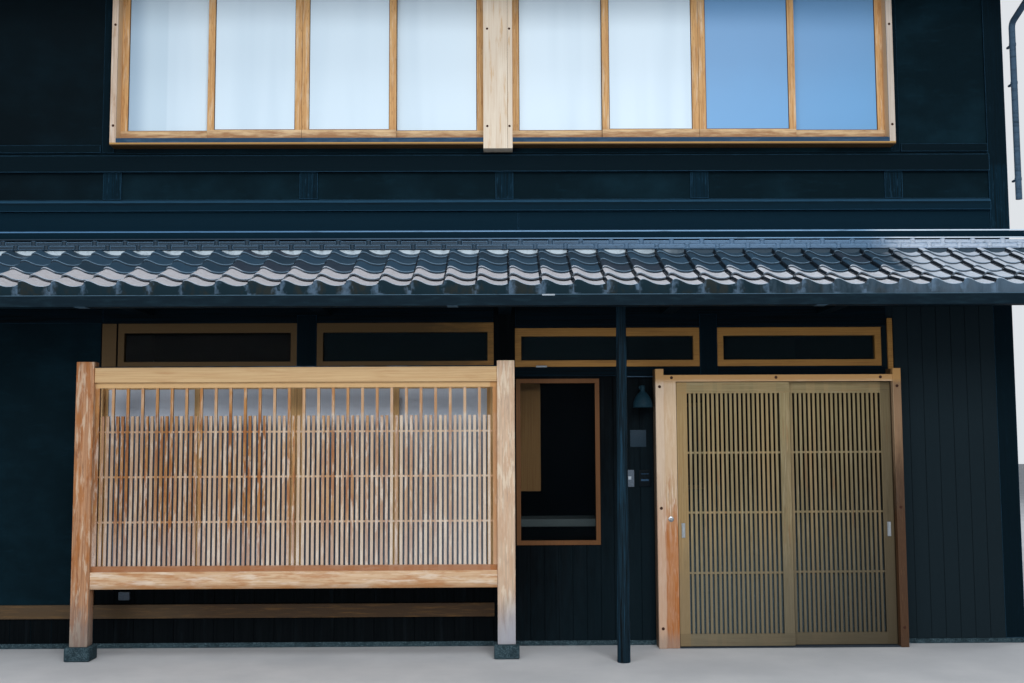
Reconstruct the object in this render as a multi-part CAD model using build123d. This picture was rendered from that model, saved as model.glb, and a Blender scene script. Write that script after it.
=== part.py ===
from build123d import *
import math
import os

# Machiya townhouse, in millimetres: X along the street front, Y into the house, Z up from the ground.
# The street front is at low Y. The origin is at the middle of the house, on the ground.

# Bays and walls
bay = 1636
end_bay = 900
street_bays = 5
depth_bays = 4
post = 160
post_proud = 20
wall = 150
foundation_top = 40
half_x = (street_bays * bay + end_bay) / 2
half_y = depth_bays * bay / 2
outer_x = half_x + post / 2
inner_x = half_x - post / 2

# Storey heights
belt_bottom = 3404
upper_floor_bottom = 3540
upper_floor_top = 3660
plate_top = 5950

# Main roof
roof_slope = 0.45
main_eave = 750
verge = 120
deck = 24
rafter_depth = 60
rafter_width = 45
rafter_pitch = bay / 4
fascia = 22
fascia_drop = 78
roof_half_x = outer_x + verge

# Tiles: each course steps up by the butt of the tile below
course = 220
tile_bed = 32
tile_butt = 70
ridge_width = 260
ridge_height = 260
ridge_cap = 90

# Lower roof over the street, measured out from the wall face
lower_reach = 1090
tile_overhang = 40
lower_tile_bottom = 2733
fascia_back = lower_reach - tile_overhang
wall_ridge_reach = 205
wall_ridge_step = 40
wall_ridge_rise = 124
wall_ridge_course = 40
flashing_lip = 14

# Eave arms and purlin
arm_lines = (-2571, -1103, 386, 1732, 3035)
arm_width = 105
arm_drop = 33
arm_bottom = lower_tile_bottom - arm_drop
arm_height = 110
purlin_setback = 400
purlin_centre = lower_reach - purlin_setback
purlin_width = 110

# Gutters: square troughs on the fascias
gutter_width = 108
gutter_height = 78
gutter_sheet = 4
gutter_drop = 13
gutter_top = lower_tile_bottom - gutter_drop

# Belt of beams between the storeys
lower_beam = (3569, 3645)
upper_beam = (3900, 4040)
beam_proud = 45
beam_weathering = 30
strut_width = 150
strut_proud = 15
strut_shift = 18

# Street window behind the screen
street_window = (-2952, 292)
street_sill = 560
street_head = 2180
street_sash = 57
street_frame = 30
street_sash_lap = 30
street_casing = 80

# Centre post beside the reception window
centre_post_width = 178
centre_post_proud = 12
centre_post_left = street_window[1]
centre_post_right = centre_post_left + centre_post_width

# Lintel over the doors
lintel_bottom = 2130
lintel_height = 54
door_opening_top = lintel_bottom + lintel_height

# Transom lights under the eave
transom_rail = 84
transom_wide_height = 370
transom_low_rail = 81
transom_low_height = 320
transom_wide = (street_head + transom_rail, street_head + transom_rail + transom_wide_height)
transom_low_bottom = door_opening_top + transom_low_rail
transom_low = (transom_low_bottom, transom_low_bottom + transom_low_height)
transom_edge = 50
transom_foot = 52
transom_wide_head = 78
transom_low_head = 67
transoms = (
    (-2806, -1334, transom_wide, transom_wide_head),
    (-1169, centre_post_left, transom_wide, transom_wide_head),
    (centre_post_right, 1998, transom_low, transom_low_head),
    (2147, 3509, transom_low, transom_low_head),
)
transom_board = 116
transom_board_gap = 15

# Reception window
reception = (476, 1163)
reception_bottom = 807
reception_drop = 19
reception_top = door_opening_top - reception_drop
reception_edge = 36
counter_top = 1005
counter_thick = 60
counter_depth = 420
panel_width = 205
panel_bottom = 1237

# Glass and window sections
glass = 8
frame_depth = 60
frame_proud = 12
sash_depth = 34
track_gap = 6
sash_gap = 3

# Sliding doors: leaves run in two tracks under the lintel
door_left = 1774
door_right = 3543
door_post = 65
door_jamb = 101
door_post_top = 2233
door_post_depth = 170
jamb_set_back = 10
lintel_set_back = 5
threshold_back = 20
threshold_top = 6
rail_height = 3
rail_width = 8
leaf_side_gap = 5
leaf_foot_gap = 8
leaf_head_gap = 5
leaf_width = 922
leaf_depth = 34
leaf_stile = 84
leaf_top_rail = 90
leaf_bottom_rail = 95
leaf_bars = 20
leaf_bar = 20
leaf_bar_depth = 20
leaf_glass = 5
leaf_rail = 16
leaf_rails = 3
front_track = 132
track_pitch = 46
wheel_radius = 14
wheel_width = 7
wheel_gap = 0.3
pull_width = 30
pull_height = 120
pull_depth = 8
pull_inset = leaf_stile * 0.47
pull_height_at = 930

# Screen in front of the street window
screen_middle = -1246
screen_clear = 3064
screen_stile = 34
screen_post = 138
screen_post_depth = 115
screen_post_front = 530
screen_post_top = 2286
stone_height = 105
stone_width = 195
stone_depth = 180
stone_chamfer = 12
top_rail = (2123, 2246)
bottom_rail = (535, 665)
screen_rail_depth = 88
inner_rail = 42
screen_bars = 80
screen_bar = 22
screen_bar_depth = 20
short_bar_top = 1862
thin_rails = (1042, 1390, 1738)
thin_rail = 14
thin_rail_depth = 12

# Upper box window
box_left = -2878
box_right = 3648
box_proud = 130
box_jamb = 50
box_opening = (box_left + box_jamb, box_right - box_jamb)
box_bottom = 4108
sill_board = 20
metal_sill = 36
sash_bottom = 4188
sash_top = 5600
sash_set_back = 80
box_head = 80
hood_lip = 15
hood_rise = 60
box_post_left = 214
box_post_right = 456
box_post_proud = 8
box_post_drop = 36
upper_stile = 56
upper_rail = 68

# Rear windows
rear_window_lines = (-2454, 2454)
rear_window_width = 1476
rear_lower_sill = 950
rear_lower_head = 2150
rear_upper_sill = 4300
rear_upper_head = 5400
rear_edge = 55

# Base rail along the plaster wall
base_rail_bottom = 240
base_rail_top = 348
base_rail_proud = 25

# Weathered log that props the eave
log_x = 1268
log_lean = 10
log_radius = 50
log_top_radius = 37
log_foot = 180

# Down pipe at the right end of the front
pipe_x = 4671
pipe_radius = 26
pipe_out = 100
pipe_bottom = 3640
pipe_bend = 60

# Lamp over the fittings beside the door
lamp_x = 1508
lamp_out = 120
lamp_rim = 1923
lamp_radius = 80
lamp_height = 120
lamp_neck = 9
lamp_wall_height = 2060
lamp_arm_rise = 40

# Fittings on the wall beside the door: middle, width, low and high edge, and thickness
intercom = (1416, 52, 1275, 1414, 22)
name_plate = (1480, 132, 1601, 1741, 10)
letter_slot = (1530, 96, 1275, 1413, 16)
outlet_box = (-2704, 88, 387, 451, 35)
lock_x = 1718
lock_height = 1022
lock_radius = 22
lock_proud = 14


def front(out):
    """Y of a place measured out from the street wall face."""
    return -half_y - out


def block(x0, x1, out0, out1, z0, z1):
    """Box between two X, two distances out from the street wall face and two heights."""
    y0, y1 = sorted((front(out0), front(out1)))
    return Pos((x0 + x1) / 2, (y0 + y1) / 2, (z0 + z1) / 2) * Box(abs(x1 - x0), y1 - y0, abs(z1 - z0))


def bar_along_x(points, x0, x1):
    """Solid with a section given as Y and Z, run from x0 to x1."""
    outline = Wire.make_polygon([(x0, y, z) for y, z in points])
    return Solid.extrude(Face(outline), Vector(x1 - x0, 0, 0))


def street(points):
    """Section points given as distance out and height, as Y and Z."""
    return [(front(out), z) for out, z in points]


def behind(solid):
    """The same piece on the garden side."""
    return mirror(solid, about=Plane.XZ)


def union(pieces):
    """One solid from pieces that meet."""
    return pieces[0].fuse(*pieces[1:])


def write(name, pieces):
    """Writes a node from a list of solids."""
    solids = [s for piece in pieces for s in piece.solids()]
    export_step(Compound(children=solids), "parts/" + name + ".step")


def post_line(number):
    """X of a post line, counted from the left end."""
    return -half_x + number * bay


def ceiling(y):
    """Height of the main roof's underside."""
    return plate_top + roof_slope * (half_y - abs(y))


def frame_with_pane(x0, x1, out0, out1, z0, z1, left, right, foot, head):
    """Rectangular window frame, its four sides of their own width, and the sheet of glass that it holds."""
    opening = (x0 + left, x1 - right, z0 + foot, z1 - head)
    space = block(*opening[:2], out0 - 1, out1 + 1, *opening[2:])
    middle = (out0 + out1) / 2
    pane = block(*opening[:2], middle - glass / 2, middle + glass / 2, *opening[2:])
    return block(x0, x1, out0, out1, z0, z1) - space, pane


def sash_bank(x0, x1, out, z0, z1, stile, rail, lap):
    """Four sliding sashes: the outer two run behind the middle two, and the frame laps their outer stiles."""
    middle = (x0 + x1) / 2
    left_quarter = (x0 - lap + middle) / 2
    right_quarter = (x1 + lap + middle) / 2
    back = out - sash_depth - track_gap
    spans = (
        (x0, left_quarter + stile / 2, back, stile - lap, stile),
        (left_quarter - stile / 2, middle - sash_gap / 2, out, stile, stile),
        (middle + sash_gap / 2, right_quarter + stile / 2, out, stile, stile),
        (right_quarter - stile / 2, x1, back, stile, stile - lap),
    )
    sashes = []
    for start, end, face, left, right in spans:
        sashes.append(frame_with_pane(start, end, face - sash_depth, face, z0, z1, left, right, rail, rail))
    return sashes


# Structure


def foundation():
    return [block(-outer_x, outer_x, 0, -2 * half_y, 0, foundation_top)]


def upper_floor():
    return [block(-inner_x, inner_x, -wall, wall - 2 * half_y, upper_floor_bottom, upper_floor_top)]


def wall_section(bottom):
    """Section of the street wall with its top cut to the roof's slope."""
    face_y = front(0)
    back_y = front(-wall)
    return [(face_y, bottom), (face_y, ceiling(face_y)), (back_y, ceiling(back_y)), (back_y, bottom)]


def corner_posts():
    """Posts that stand proud of the walls above the lower roofs."""
    face_y, wall_y, back_y = front(post_proud), front(0), front(-wall)
    section = [
        (wall_y, foundation_top),
        (wall_y, belt_bottom),
        (face_y, belt_bottom),
        (face_y, ceiling(face_y)),
        (back_y, ceiling(back_y)),
        (back_y, foundation_top),
    ]
    left = bar_along_x(section, -outer_x, -inner_x)
    right = bar_along_x(section, inner_x, outer_x)
    return [left, right, behind(left), behind(right)]


def party_wall(x0, x1):
    near = front(-wall)
    section = [
        (near, foundation_top),
        (near, ceiling(near)),
        (0, ceiling(0)),
        (-near, ceiling(near)),
        (-near, foundation_top),
    ]
    return [bar_along_x(section, x0, x1)]


def street_wall(x0, x1, z0, z1):
    return block(x0, x1, 0, -wall, z0, z1)


def hole(x0, x1, z0, z1):
    return block(x0, x1, 1, -wall - 1, z0, z1)


def centre_post():
    """Post that stands a little proud of the wall up to the eave arms."""
    low = block(centre_post_left, centre_post_right, centre_post_proud, -wall, foundation_top, arm_bottom)
    high = block(centre_post_left, centre_post_right, 0, -wall, arm_bottom, belt_bottom)
    return [low + high]


def wall_over_window():
    left, right = street_window
    piece = street_wall(left, right, street_head, belt_bottom)
    for x0, x1, (z0, z1), head in transoms[:2]:
        piece -= hole(x0, x1, z0, z1)
    return [piece]


def wall_over_door():
    piece = street_wall(centre_post_right, door_right, door_opening_top, belt_bottom)
    for x0, x1, (z0, z1), head in transoms[2:]:
        piece -= hole(x0, x1, z0, z1)
    return [piece]


def reception_wall():
    piece = street_wall(centre_post_right, door_left, foundation_top, door_opening_top)
    return [piece - hole(*reception, reception_bottom, reception_top)]


def upper_street_wall():
    piece = bar_along_x(wall_section(belt_bottom), -inner_x, inner_x)
    return [piece - hole(*box_opening, sash_bottom, sash_top)]


def rear_wall(bottom, top, sill, head):
    """Garden wall of one storey with its plain windows, made on the street side and mirrored."""
    if top is None:
        piece = bar_along_x(wall_section(bottom), -inner_x, inner_x)
    else:
        piece = street_wall(-inner_x, inner_x, bottom, top)
    for line in rear_window_lines:
        piece -= hole(line - rear_window_width / 2, line + rear_window_width / 2, sill, head)
    return [behind(piece)]


def rear_windows():
    """Two sliding lights in each opening: frames and panes."""
    frames, panes = [], []
    for sill, head in ((rear_lower_sill, rear_lower_head), (rear_upper_sill, rear_upper_head)):
        for line in rear_window_lines:
            left, right = line - rear_window_width / 2, line + rear_window_width / 2
            edge_frame = block(left, right, frame_proud, frame_proud - frame_depth, sill, head)
            half = rear_edge / 2
            for x0, x1 in ((left + rear_edge, line - half), (line + half, right - rear_edge)):
                z0, z1 = sill + rear_edge, head - rear_edge
                edge_frame -= block(x0, x1, frame_proud + 1, frame_proud - frame_depth - 1, z0, z1)
                middle = frame_proud - frame_depth / 2
                panes.append(behind(block(x0, x1, middle - glass / 2, middle + glass / 2, z0, z1)))
            frames.append(behind(edge_frame))
    return frames, panes


# Belt between the storeys


def belt_beam(low, high):
    """Beam with a weathered top that sheds rain."""
    section = [(0, low), (beam_proud, low), (beam_proud, high), (0, high + beam_weathering)]
    return bar_along_x(street(section), -inner_x, inner_x)


def belt_struts():
    z0 = lower_beam[1] + beam_weathering
    z1 = upper_beam[0]
    lines = [post_line(n) + strut_shift for n in range(1, street_bays + 1)]
    return [block(x - strut_width / 2, x + strut_width / 2, 0, strut_proud, z0, z1) for x in lines]


# Roofs


def deck_top(out):
    """Height of the lower roof's boards, under the tiles."""
    return lower_tile_bottom + roof_slope * (lower_reach - out)


def lower_deck():
    """Boards, rafters and fascia of the lower roof."""
    boards = [(0, deck_top(0)), (fascia_back, deck_top(fascia_back))]
    boards += [(fascia_back, deck_top(fascia_back) - deck), (0, deck_top(0) - deck)]
    rafter = [(0, deck_top(0) - deck), (fascia_back, deck_top(fascia_back) - deck)]
    rafter += [(out, deck_top(out) - deck - rafter_depth) for out in (fascia_back, 0)]
    pieces = [bar_along_x(street(boards), -roof_half_x, roof_half_x)]
    for x in rafter_lines():
        pieces.append(bar_along_x(street(rafter), x - rafter_width / 2, x + rafter_width / 2))
    high = deck_top(fascia_back + fascia)
    front_edge = fascia_back + fascia
    pieces.append(block(-roof_half_x, roof_half_x, fascia_back, front_edge, high - fascia_drop, high))
    return union(pieces)


def rafter_lines():
    count = math.floor((outer_x - rafter_width / 2) / rafter_pitch)
    return [n * rafter_pitch for n in range(-count, count + 1)]


def stepped_tiles(out0, out1, top):
    """Section of tile courses from the eave out0 up the slope to out1, lying on boards at top(out)."""
    step = course / math.hypot(1, roof_slope)
    points = [(out0, top(out0))]
    out = out0
    while out > out1:
        upper = max(out - step, out1)
        share = (out - upper) / step
        points.append((out, top(out) + tile_butt))
        points.append((upper, top(upper) + tile_butt + (tile_bed - tile_butt) * share))
        out = upper
    points.append((out1, top(out1)))
    return points


def lower_tiles():
    section = stepped_tiles(lower_reach, wall_ridge_reach, deck_top)
    return bar_along_x(street(section), -roof_half_x, roof_half_x)


def wall_ridge():
    """Two courses of flat ridge tiles against the wall, and the sheet metal over them."""
    second = wall_ridge_reach - wall_ridge_step
    third = second - wall_ridge_step
    low = deck_top(wall_ridge_reach) + wall_ridge_rise
    high = low + wall_ridge_course
    section = [
        (0, deck_top(0)),
        (wall_ridge_reach, deck_top(wall_ridge_reach)),
        (wall_ridge_reach, low),
        (second, low),
        (second, high),
        (third, high),
        (third, high + flashing_lip),
        (0, belt_bottom),
    ]
    return bar_along_x(street(section), -roof_half_x, roof_half_x)


def eave_purlin():
    """Beam under the rafters, its top cut to their slope."""
    near, far = purlin_centre - purlin_width / 2, purlin_centre + purlin_width / 2
    under = deck + rafter_depth
    section = [(near, arm_bottom), (far, arm_bottom)]
    section += [(far, deck_top(far) - under), (near, deck_top(near) - under)]
    return bar_along_x(street(section), -outer_x, outer_x)


def eave_arm(x):
    far = purlin_centre - purlin_width / 2
    return block(x - arm_width / 2, x + arm_width / 2, 0, far, arm_bottom, arm_bottom + arm_height)


def trough(out, top):
    """Open square gutter, its back at out."""
    sheet = gutter_sheet
    section = [
        (out, top),
        (out, top - gutter_height),
        (out + gutter_width, top - gutter_height),
        (out + gutter_width, top),
        (out + gutter_width - sheet, top),
        (out + gutter_width - sheet, top - gutter_height + sheet),
        (out + sheet, top - gutter_height + sheet),
        (out + sheet, top),
    ]
    return bar_along_x(street(section), -roof_half_x, roof_half_x)


def main_deck_top(out):
    """Height of the main roof's boards over a place out from the wall."""
    return plate_top - roof_slope * out + deck


def main_gutter_top():
    return main_deck_top(main_eave) - deck


def main_deck():
    """Boards of both slopes, with the rafter tails and fascias under the eaves."""
    eave_y = front(main_eave)
    under = [(eave_y, ceiling(eave_y)), (0, ceiling(0)), (-eave_y, ceiling(eave_y))]
    over = [(y, z + deck) for y, z in reversed(under)]
    pieces = [bar_along_x(under + over, -roof_half_x, roof_half_x)]
    tail = [
        (post_proud, ceiling(front(post_proud))),
        (main_eave, ceiling(eave_y)),
        (main_eave, ceiling(eave_y) - rafter_depth),
        (post_proud, ceiling(front(post_proud)) - rafter_depth),
    ]
    for x in rafter_lines():
        piece = bar_along_x(street(tail), x - rafter_width / 2, x + rafter_width / 2)
        pieces += [piece, behind(piece)]
    high = main_deck_top(main_eave + fascia)
    board = block(-roof_half_x, roof_half_x, main_eave, main_eave + fascia, high - fascia_drop, high)
    return [union(pieces + [board, behind(board)])]


def main_tiles():
    reach = main_eave + tile_overhang
    section = stepped_tiles(reach, -half_y + ridge_width / 2, main_deck_top)
    slope = bar_along_x(street(section), -roof_half_x, roof_half_x)
    return [slope, behind(slope)]


def main_ridge():
    """Stacked flat ridge tiles with a round cap."""
    half = ridge_width / 2
    foot = main_deck_top(half - half_y)
    top = main_deck_top(-half_y) + ridge_height
    shoulder = top - ridge_cap
    section = [
        (-half, foot),
        (0, main_deck_top(-half_y)),
        (half, foot),
        (half, shoulder - wall_ridge_step),
        (half - wall_ridge_step, shoulder - wall_ridge_step),
        (half - wall_ridge_step, shoulder),
        (half / 2, top - ridge_cap / 4),
        (0, top),
        (-half / 2, top - ridge_cap / 4),
        (wall_ridge_step - half, shoulder),
        (wall_ridge_step - half, shoulder - wall_ridge_step),
        (-half, shoulder - wall_ridge_step),
    ]
    return [bar_along_x(section, -roof_half_x, roof_half_x)]


def bargeboards():
    """Boards under the verges, one inverted V at each end."""
    eave_y = front(main_eave)
    drop = rafter_depth + deck
    upper = [(eave_y, ceiling(eave_y)), (0, ceiling(0)), (-eave_y, ceiling(eave_y))]
    lower = [(y, z - drop) for y, z in reversed(upper)]
    right = bar_along_x(upper + lower, roof_half_x - fascia, roof_half_x)
    return [right, mirror(right, about=Plane.YZ)]


def down_pipe():
    """Round pipe from the main gutter, set back to the corner, with a bend at its foot."""
    gutter_out = main_eave + fascia + gutter_width / 2
    start = main_gutter_top() - gutter_height
    path = FilletPolyline(
        (pipe_x, front(gutter_out), start),
        (pipe_x, front(gutter_out), start - gutter_height * 2),
        (pipe_x, front(pipe_out), start - gutter_height * 5),
        (pipe_x, front(pipe_out), pipe_bottom),
        radius=pipe_bend,
    )
    return [sweep(Plane(path @ 0, z_dir=path % 0) * Circle(pipe_radius), path=path)]


# Street front


def transom_lights():
    """Frames and panes of the four lights, and the upright board on the wall left of the first."""
    edge = transom_edge
    far = frame_proud - frame_depth
    lights = [
        frame_with_pane(x0, x1, far, frame_proud, *heights, edge, edge, transom_foot, head)
        for x0, x1, heights, head in transoms
    ]
    right = transoms[0][0] - transom_board_gap
    board = block(right - transom_board, right, 0, frame_proud, *transom_wide)
    return [frame for frame, pane in lights] + [board], [pane for frame, pane in lights]


def reception_window():
    far = frame_proud - frame_depth
    edges = [reception_edge] * 4
    return frame_with_pane(*reception, far, frame_proud, reception_bottom, reception_top, *edges)


def reception_counter():
    """Counter board behind the reception window and the board beside it."""
    left, right = reception
    back = -wall - counter_depth
    counter = block(left, right, -wall, back, counter_top - counter_thick, counter_top)
    side = block(left, left + panel_width, -wall, -wall - counter_thick, panel_bottom, reception_top)
    return [counter, side]


def street_window_pieces():
    outline = block(*street_window, frame_proud, -wall, street_sill, street_head)
    left, right = street_window[0] + street_frame, street_window[1] - street_frame
    low, high = street_sill + street_frame, street_head - street_frame
    inner = block(left, right, frame_proud + 1, -wall - 1, low, high)
    return outline - inner, sash_bank(left, right, 0, low, high, street_sash, street_sash, street_sash_lap)


def base_rail():
    return [block(-inner_x, centre_post_left, 0, base_rail_proud, base_rail_bottom, base_rail_top)]


def window_casing():
    """Upright board that stands on the base rail beside the street window."""
    edge = street_window[0]
    return [block(edge - street_casing, edge, 0, base_rail_proud, base_rail_top, street_head)]


def box_frame():
    """Jambs, sill board and head of the upper box window, as one frame on the wall."""
    left, right = box_opening
    outline = block(box_left, box_right, 0, box_proud, box_bottom, sash_top + box_head)
    inner = block(left, right, -1, box_proud + 1, box_bottom + sill_board, sash_top)
    return [outline - inner - box_centre_post()[0]]


def box_sill():
    """Sheet metal sill between the jambs, its top sloping down from the sashes."""
    low = box_bottom + sill_board
    inside = box_proud - sash_set_back
    section = [(0, low), (box_proud, low), (box_proud, low + metal_sill)]
    section += [(inside, sash_bottom), (0, sash_bottom)]
    return [bar_along_x(street(section), *box_opening) - box_centre_post()[0]]


def box_centre_post():
    """Wide centre post made of two boards, in front of the frame and a little longer."""
    face, foot = box_proud + box_post_proud, box_bottom - box_post_drop
    return [block(box_post_left, box_post_right, 0, face, foot, sash_top)]


def box_sashes():
    left, right = box_opening
    out = box_proud - sash_set_back
    low, high = sash_bottom, sash_top
    sashes = []
    for x0, x1 in ((left, box_post_left), (box_post_right, right)):
        sashes += sash_bank(x0, x1, out, low, high, upper_stile, upper_rail, 0)
    return sashes


def box_hood():
    """Sloping sheet metal cap over the box window."""
    low = sash_top + box_head
    reach = box_proud + hood_lip * 2
    section = [(0, low), (reach, low), (reach, low + hood_lip), (0, low + hood_lip + hood_rise)]
    return [bar_along_x(street(section), box_left - hood_lip, box_right + hood_lip)]


# Screen


def screen_posts():
    inner = screen_clear / 2 + screen_stile
    near, far = screen_post_front, screen_post_front - screen_post_depth
    pieces = []
    for side in (-1, 1):
        x0, x1 = sorted((screen_middle + side * inner, screen_middle + side * (inner + screen_post)))
        pieces.append(block(x0, x1, far, near, stone_height, screen_post_top))
    return pieces


def screen_stones():
    centre = screen_clear / 2 + screen_stile + screen_post / 2
    middle = screen_post_front - screen_post_depth / 2
    near, far = middle + stone_depth / 2, middle - stone_depth / 2
    pieces = []
    for side in (-1, 1):
        x = screen_middle + side * centre
        stone = block(x - stone_width / 2, x + stone_width / 2, far, near, 0, stone_height)
        pieces.append(chamfer(stone.edges().group_by(Axis.Z)[-1], stone_chamfer))
    return pieces


def screen_span():
    half = screen_clear / 2 + screen_stile
    middle = screen_post_front - screen_post_depth / 2
    return screen_middle - half, screen_middle + half, middle


def screen_rails():
    x0, x1, middle = screen_span()
    near, far = middle + screen_rail_depth / 2, middle - screen_rail_depth / 2
    return [block(x0, x1, far, near, *top_rail), block(x0, x1, far, near, *bottom_rail)]


def screen_lattice():
    """Inner frame, closely set upright bars and the thin rails that they cross."""
    x0, x1, middle = screen_span()
    low, high = bottom_rail[1], top_rail[0]
    left, right = x0 + screen_stile, x1 - screen_stile
    frame_near, frame_far = middle + screen_stile / 2, middle - screen_stile / 2
    outline = block(x0, x1, frame_far, frame_near, low, high)
    inner = block(left, right, frame_far - 1, frame_near + 1, low + inner_rail, high - inner_rail)
    pieces = [outline - inner]
    gap = (screen_clear - screen_bars * screen_bar) / (screen_bars + 1)
    near, far = middle + screen_bar_depth / 2, middle - screen_bar_depth / 2
    for number in range(1, screen_bars + 1):
        x = left + number * gap + (number - 1) * screen_bar
        top = high - inner_rail if number % 3 == 0 else short_bar_top
        pieces.append(block(x, x + screen_bar, far, near, low + inner_rail, top))
    near, far = middle + thin_rail_depth / 2, middle - thin_rail_depth / 2
    for z in thin_rails:
        pieces.append(block(left, right, far, near, z - thin_rail / 2, z + thin_rail / 2))
    return [union(pieces)]


# Doors


def door_posts():
    """Outer posts of the door frame, the left one with a wide board on its inside."""
    edge = door_left - door_jamb
    left = block(edge - door_post, edge, 0, door_post_depth, 0, door_post_top)
    board = block(edge, door_left, 0, door_post_depth - jamb_set_back, 0, lintel_bottom)
    right = block(door_right, door_right + door_post, 0, door_post_depth, 0, door_post_top)
    return [left + board, right]


def door_lintel():
    face = door_post_depth - lintel_set_back
    return [block(door_left - door_jamb, door_right, 0, face, lintel_bottom, lintel_bottom + lintel_height)]


def track_out(track):
    """Middle of a track, measured out from the wall face: 0 is the front one."""
    return front_track - track * track_pitch


def door_threshold():
    """Sill board with a raised rail under each leaf."""
    pieces = [block(door_left, door_right, threshold_back, door_post_depth - jamb_set_back, 0, threshold_top)]
    for track in (0, 1):
        out = track_out(track)
        near, far = out + rail_width / 2, out - rail_width / 2
        pieces.append(block(door_left, door_right, far, near, threshold_top, threshold_top + rail_height))
    return [union(pieces)]


def leaf_heights():
    return threshold_top + leaf_foot_gap, lintel_bottom - leaf_head_gap


def leaf_opening(x0):
    """Left, right, bottom and top of the lattice in a leaf that starts at x0."""
    low, high = leaf_heights()
    return x0 + leaf_stile, x0 + leaf_width - leaf_stile, low + leaf_bottom_rail, high - leaf_top_rail


def door_glass(x0, track):
    """Sheet of glass in a leaf, straight behind its bars."""
    left, right, bottom, top = leaf_opening(x0)
    bar_back = track_out(track) - leaf_bar_depth / 2
    return [block(left, right, bar_back - leaf_glass, bar_back, bottom, top)]


def door_leaf(x0, track, pull_x):
    """Lattice leaf on two small wheels, with a sunk pull in its stile."""
    x1 = x0 + leaf_width
    out = track_out(track)
    near, far = out + leaf_depth / 2, out - leaf_depth / 2
    low, high = leaf_heights()
    left, right, bottom, top = leaf_opening(x0)
    pieces = [block(x0, x1, far, near, low, high) - block(left, right, far - 1, near + 1, bottom, top)]
    gap = (right - left - leaf_bars * leaf_bar) / (leaf_bars + 1)
    bar_near, bar_far = out + leaf_bar_depth / 2, out - leaf_bar_depth / 2
    for number in range(1, leaf_bars + 1):
        x = left + number * gap + (number - 1) * leaf_bar
        pieces.append(block(x, x + leaf_bar, bar_far, bar_near, bottom, top))
    half = leaf_rail / 2
    for number in range(1, leaf_rails + 1):
        z = bottom + (top - bottom) * number / (leaf_rails + 1)
        pieces.append(block(left, right, out - half, out + half, z - half, z + half))
    rail_top = threshold_top + rail_height
    for x in (x0 + leaf_stile, x1 - leaf_stile):
        wheel = Cylinder(wheel_radius, wheel_width, rotation=(90, 0, 0))
        pieces.append(Pos(x, front(out), rail_top + wheel_gap + wheel_radius) * wheel)
    across, up = pull_width / 2, pull_height / 2
    heights = (pull_height_at - up, pull_height_at + up)
    pull = block(pull_x - across, pull_x + across, near - pull_depth, near + 1, *heights)
    return [union(pieces) - pull]


def left_leaf_start():
    return door_left + leaf_side_gap


def right_leaf_start():
    return door_right - leaf_side_gap - leaf_width


# Log, pipe, lamp and fittings


def log_post():
    """Natural log, thicker at the foot, that props the eave purlin."""
    y = front(purlin_centre)
    heights = (0, log_foot, arm_bottom * 0.55, arm_bottom)
    radii = (log_radius, log_radius * 0.96, log_radius * 0.86, log_top_radius)
    faces = []
    for z, radius in zip(heights, radii):
        faces.append(Pos(log_x + log_lean * z / arm_bottom, y, z) * RegularPolygon(radius, 16))
    return [loft(faces)]


def door_lamp():
    """Enamelled dome on a bent arm."""
    y = front(lamp_out)
    r = lamp_radius
    top = lamp_rim + lamp_height
    bend = lamp_wall_height + lamp_arm_rise
    outer = [(0, lamp_rim), (r, lamp_rim), (r * 0.86, lamp_rim + lamp_height * 0.35)]
    outer += [(r * 0.5, lamp_rim + lamp_height * 0.7), (r * 0.25, top), (0, top)]
    profile = make_face(Polyline(*[(x, 0, z) for x, z in outer], close=True))
    dome = Pos(lamp_x, y, 0) * revolve(profile, Axis.Z)
    inside = [(0, lamp_rim - 1), (r - 4, lamp_rim - 1)]
    inside += [(r * 0.8, lamp_rim + lamp_height * 0.34), (0, lamp_rim + lamp_height * 0.5)]
    hollow = make_face(Polyline(*[(x, 0, z) for x, z in inside], close=True))
    dome -= Pos(lamp_x, y, 0) * revolve(hollow, Axis.Z)
    path = FilletPolyline(
        (lamp_x, y, top - 4),
        (lamp_x, y, bend),
        (lamp_x, front(0), bend),
        radius=30,
    )
    arm = sweep(Plane(path @ 0, z_dir=path % 0) * Circle(lamp_neck), path=path)
    return [dome + arm]


def wall_plate(middle, width, low, high, thick, out=0):
    return block(middle - width / 2, middle + width / 2, out, out + thick, low, high)


def wall_fittings():
    """Intercom, blank name plate, letter slot, outlet box and the round lock beside the doors."""
    lock_face = front(door_post_depth - jamb_set_back)
    lock = Cylinder(lock_radius, lock_proud, rotation=(90, 0, 0))
    plates = [wall_plate(*plate) for plate in (intercom, name_plate, letter_slot, outlet_box)]
    return plates + [Pos(lock_x, lock_face - lock_proud / 2, lock_height) * lock]


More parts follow.
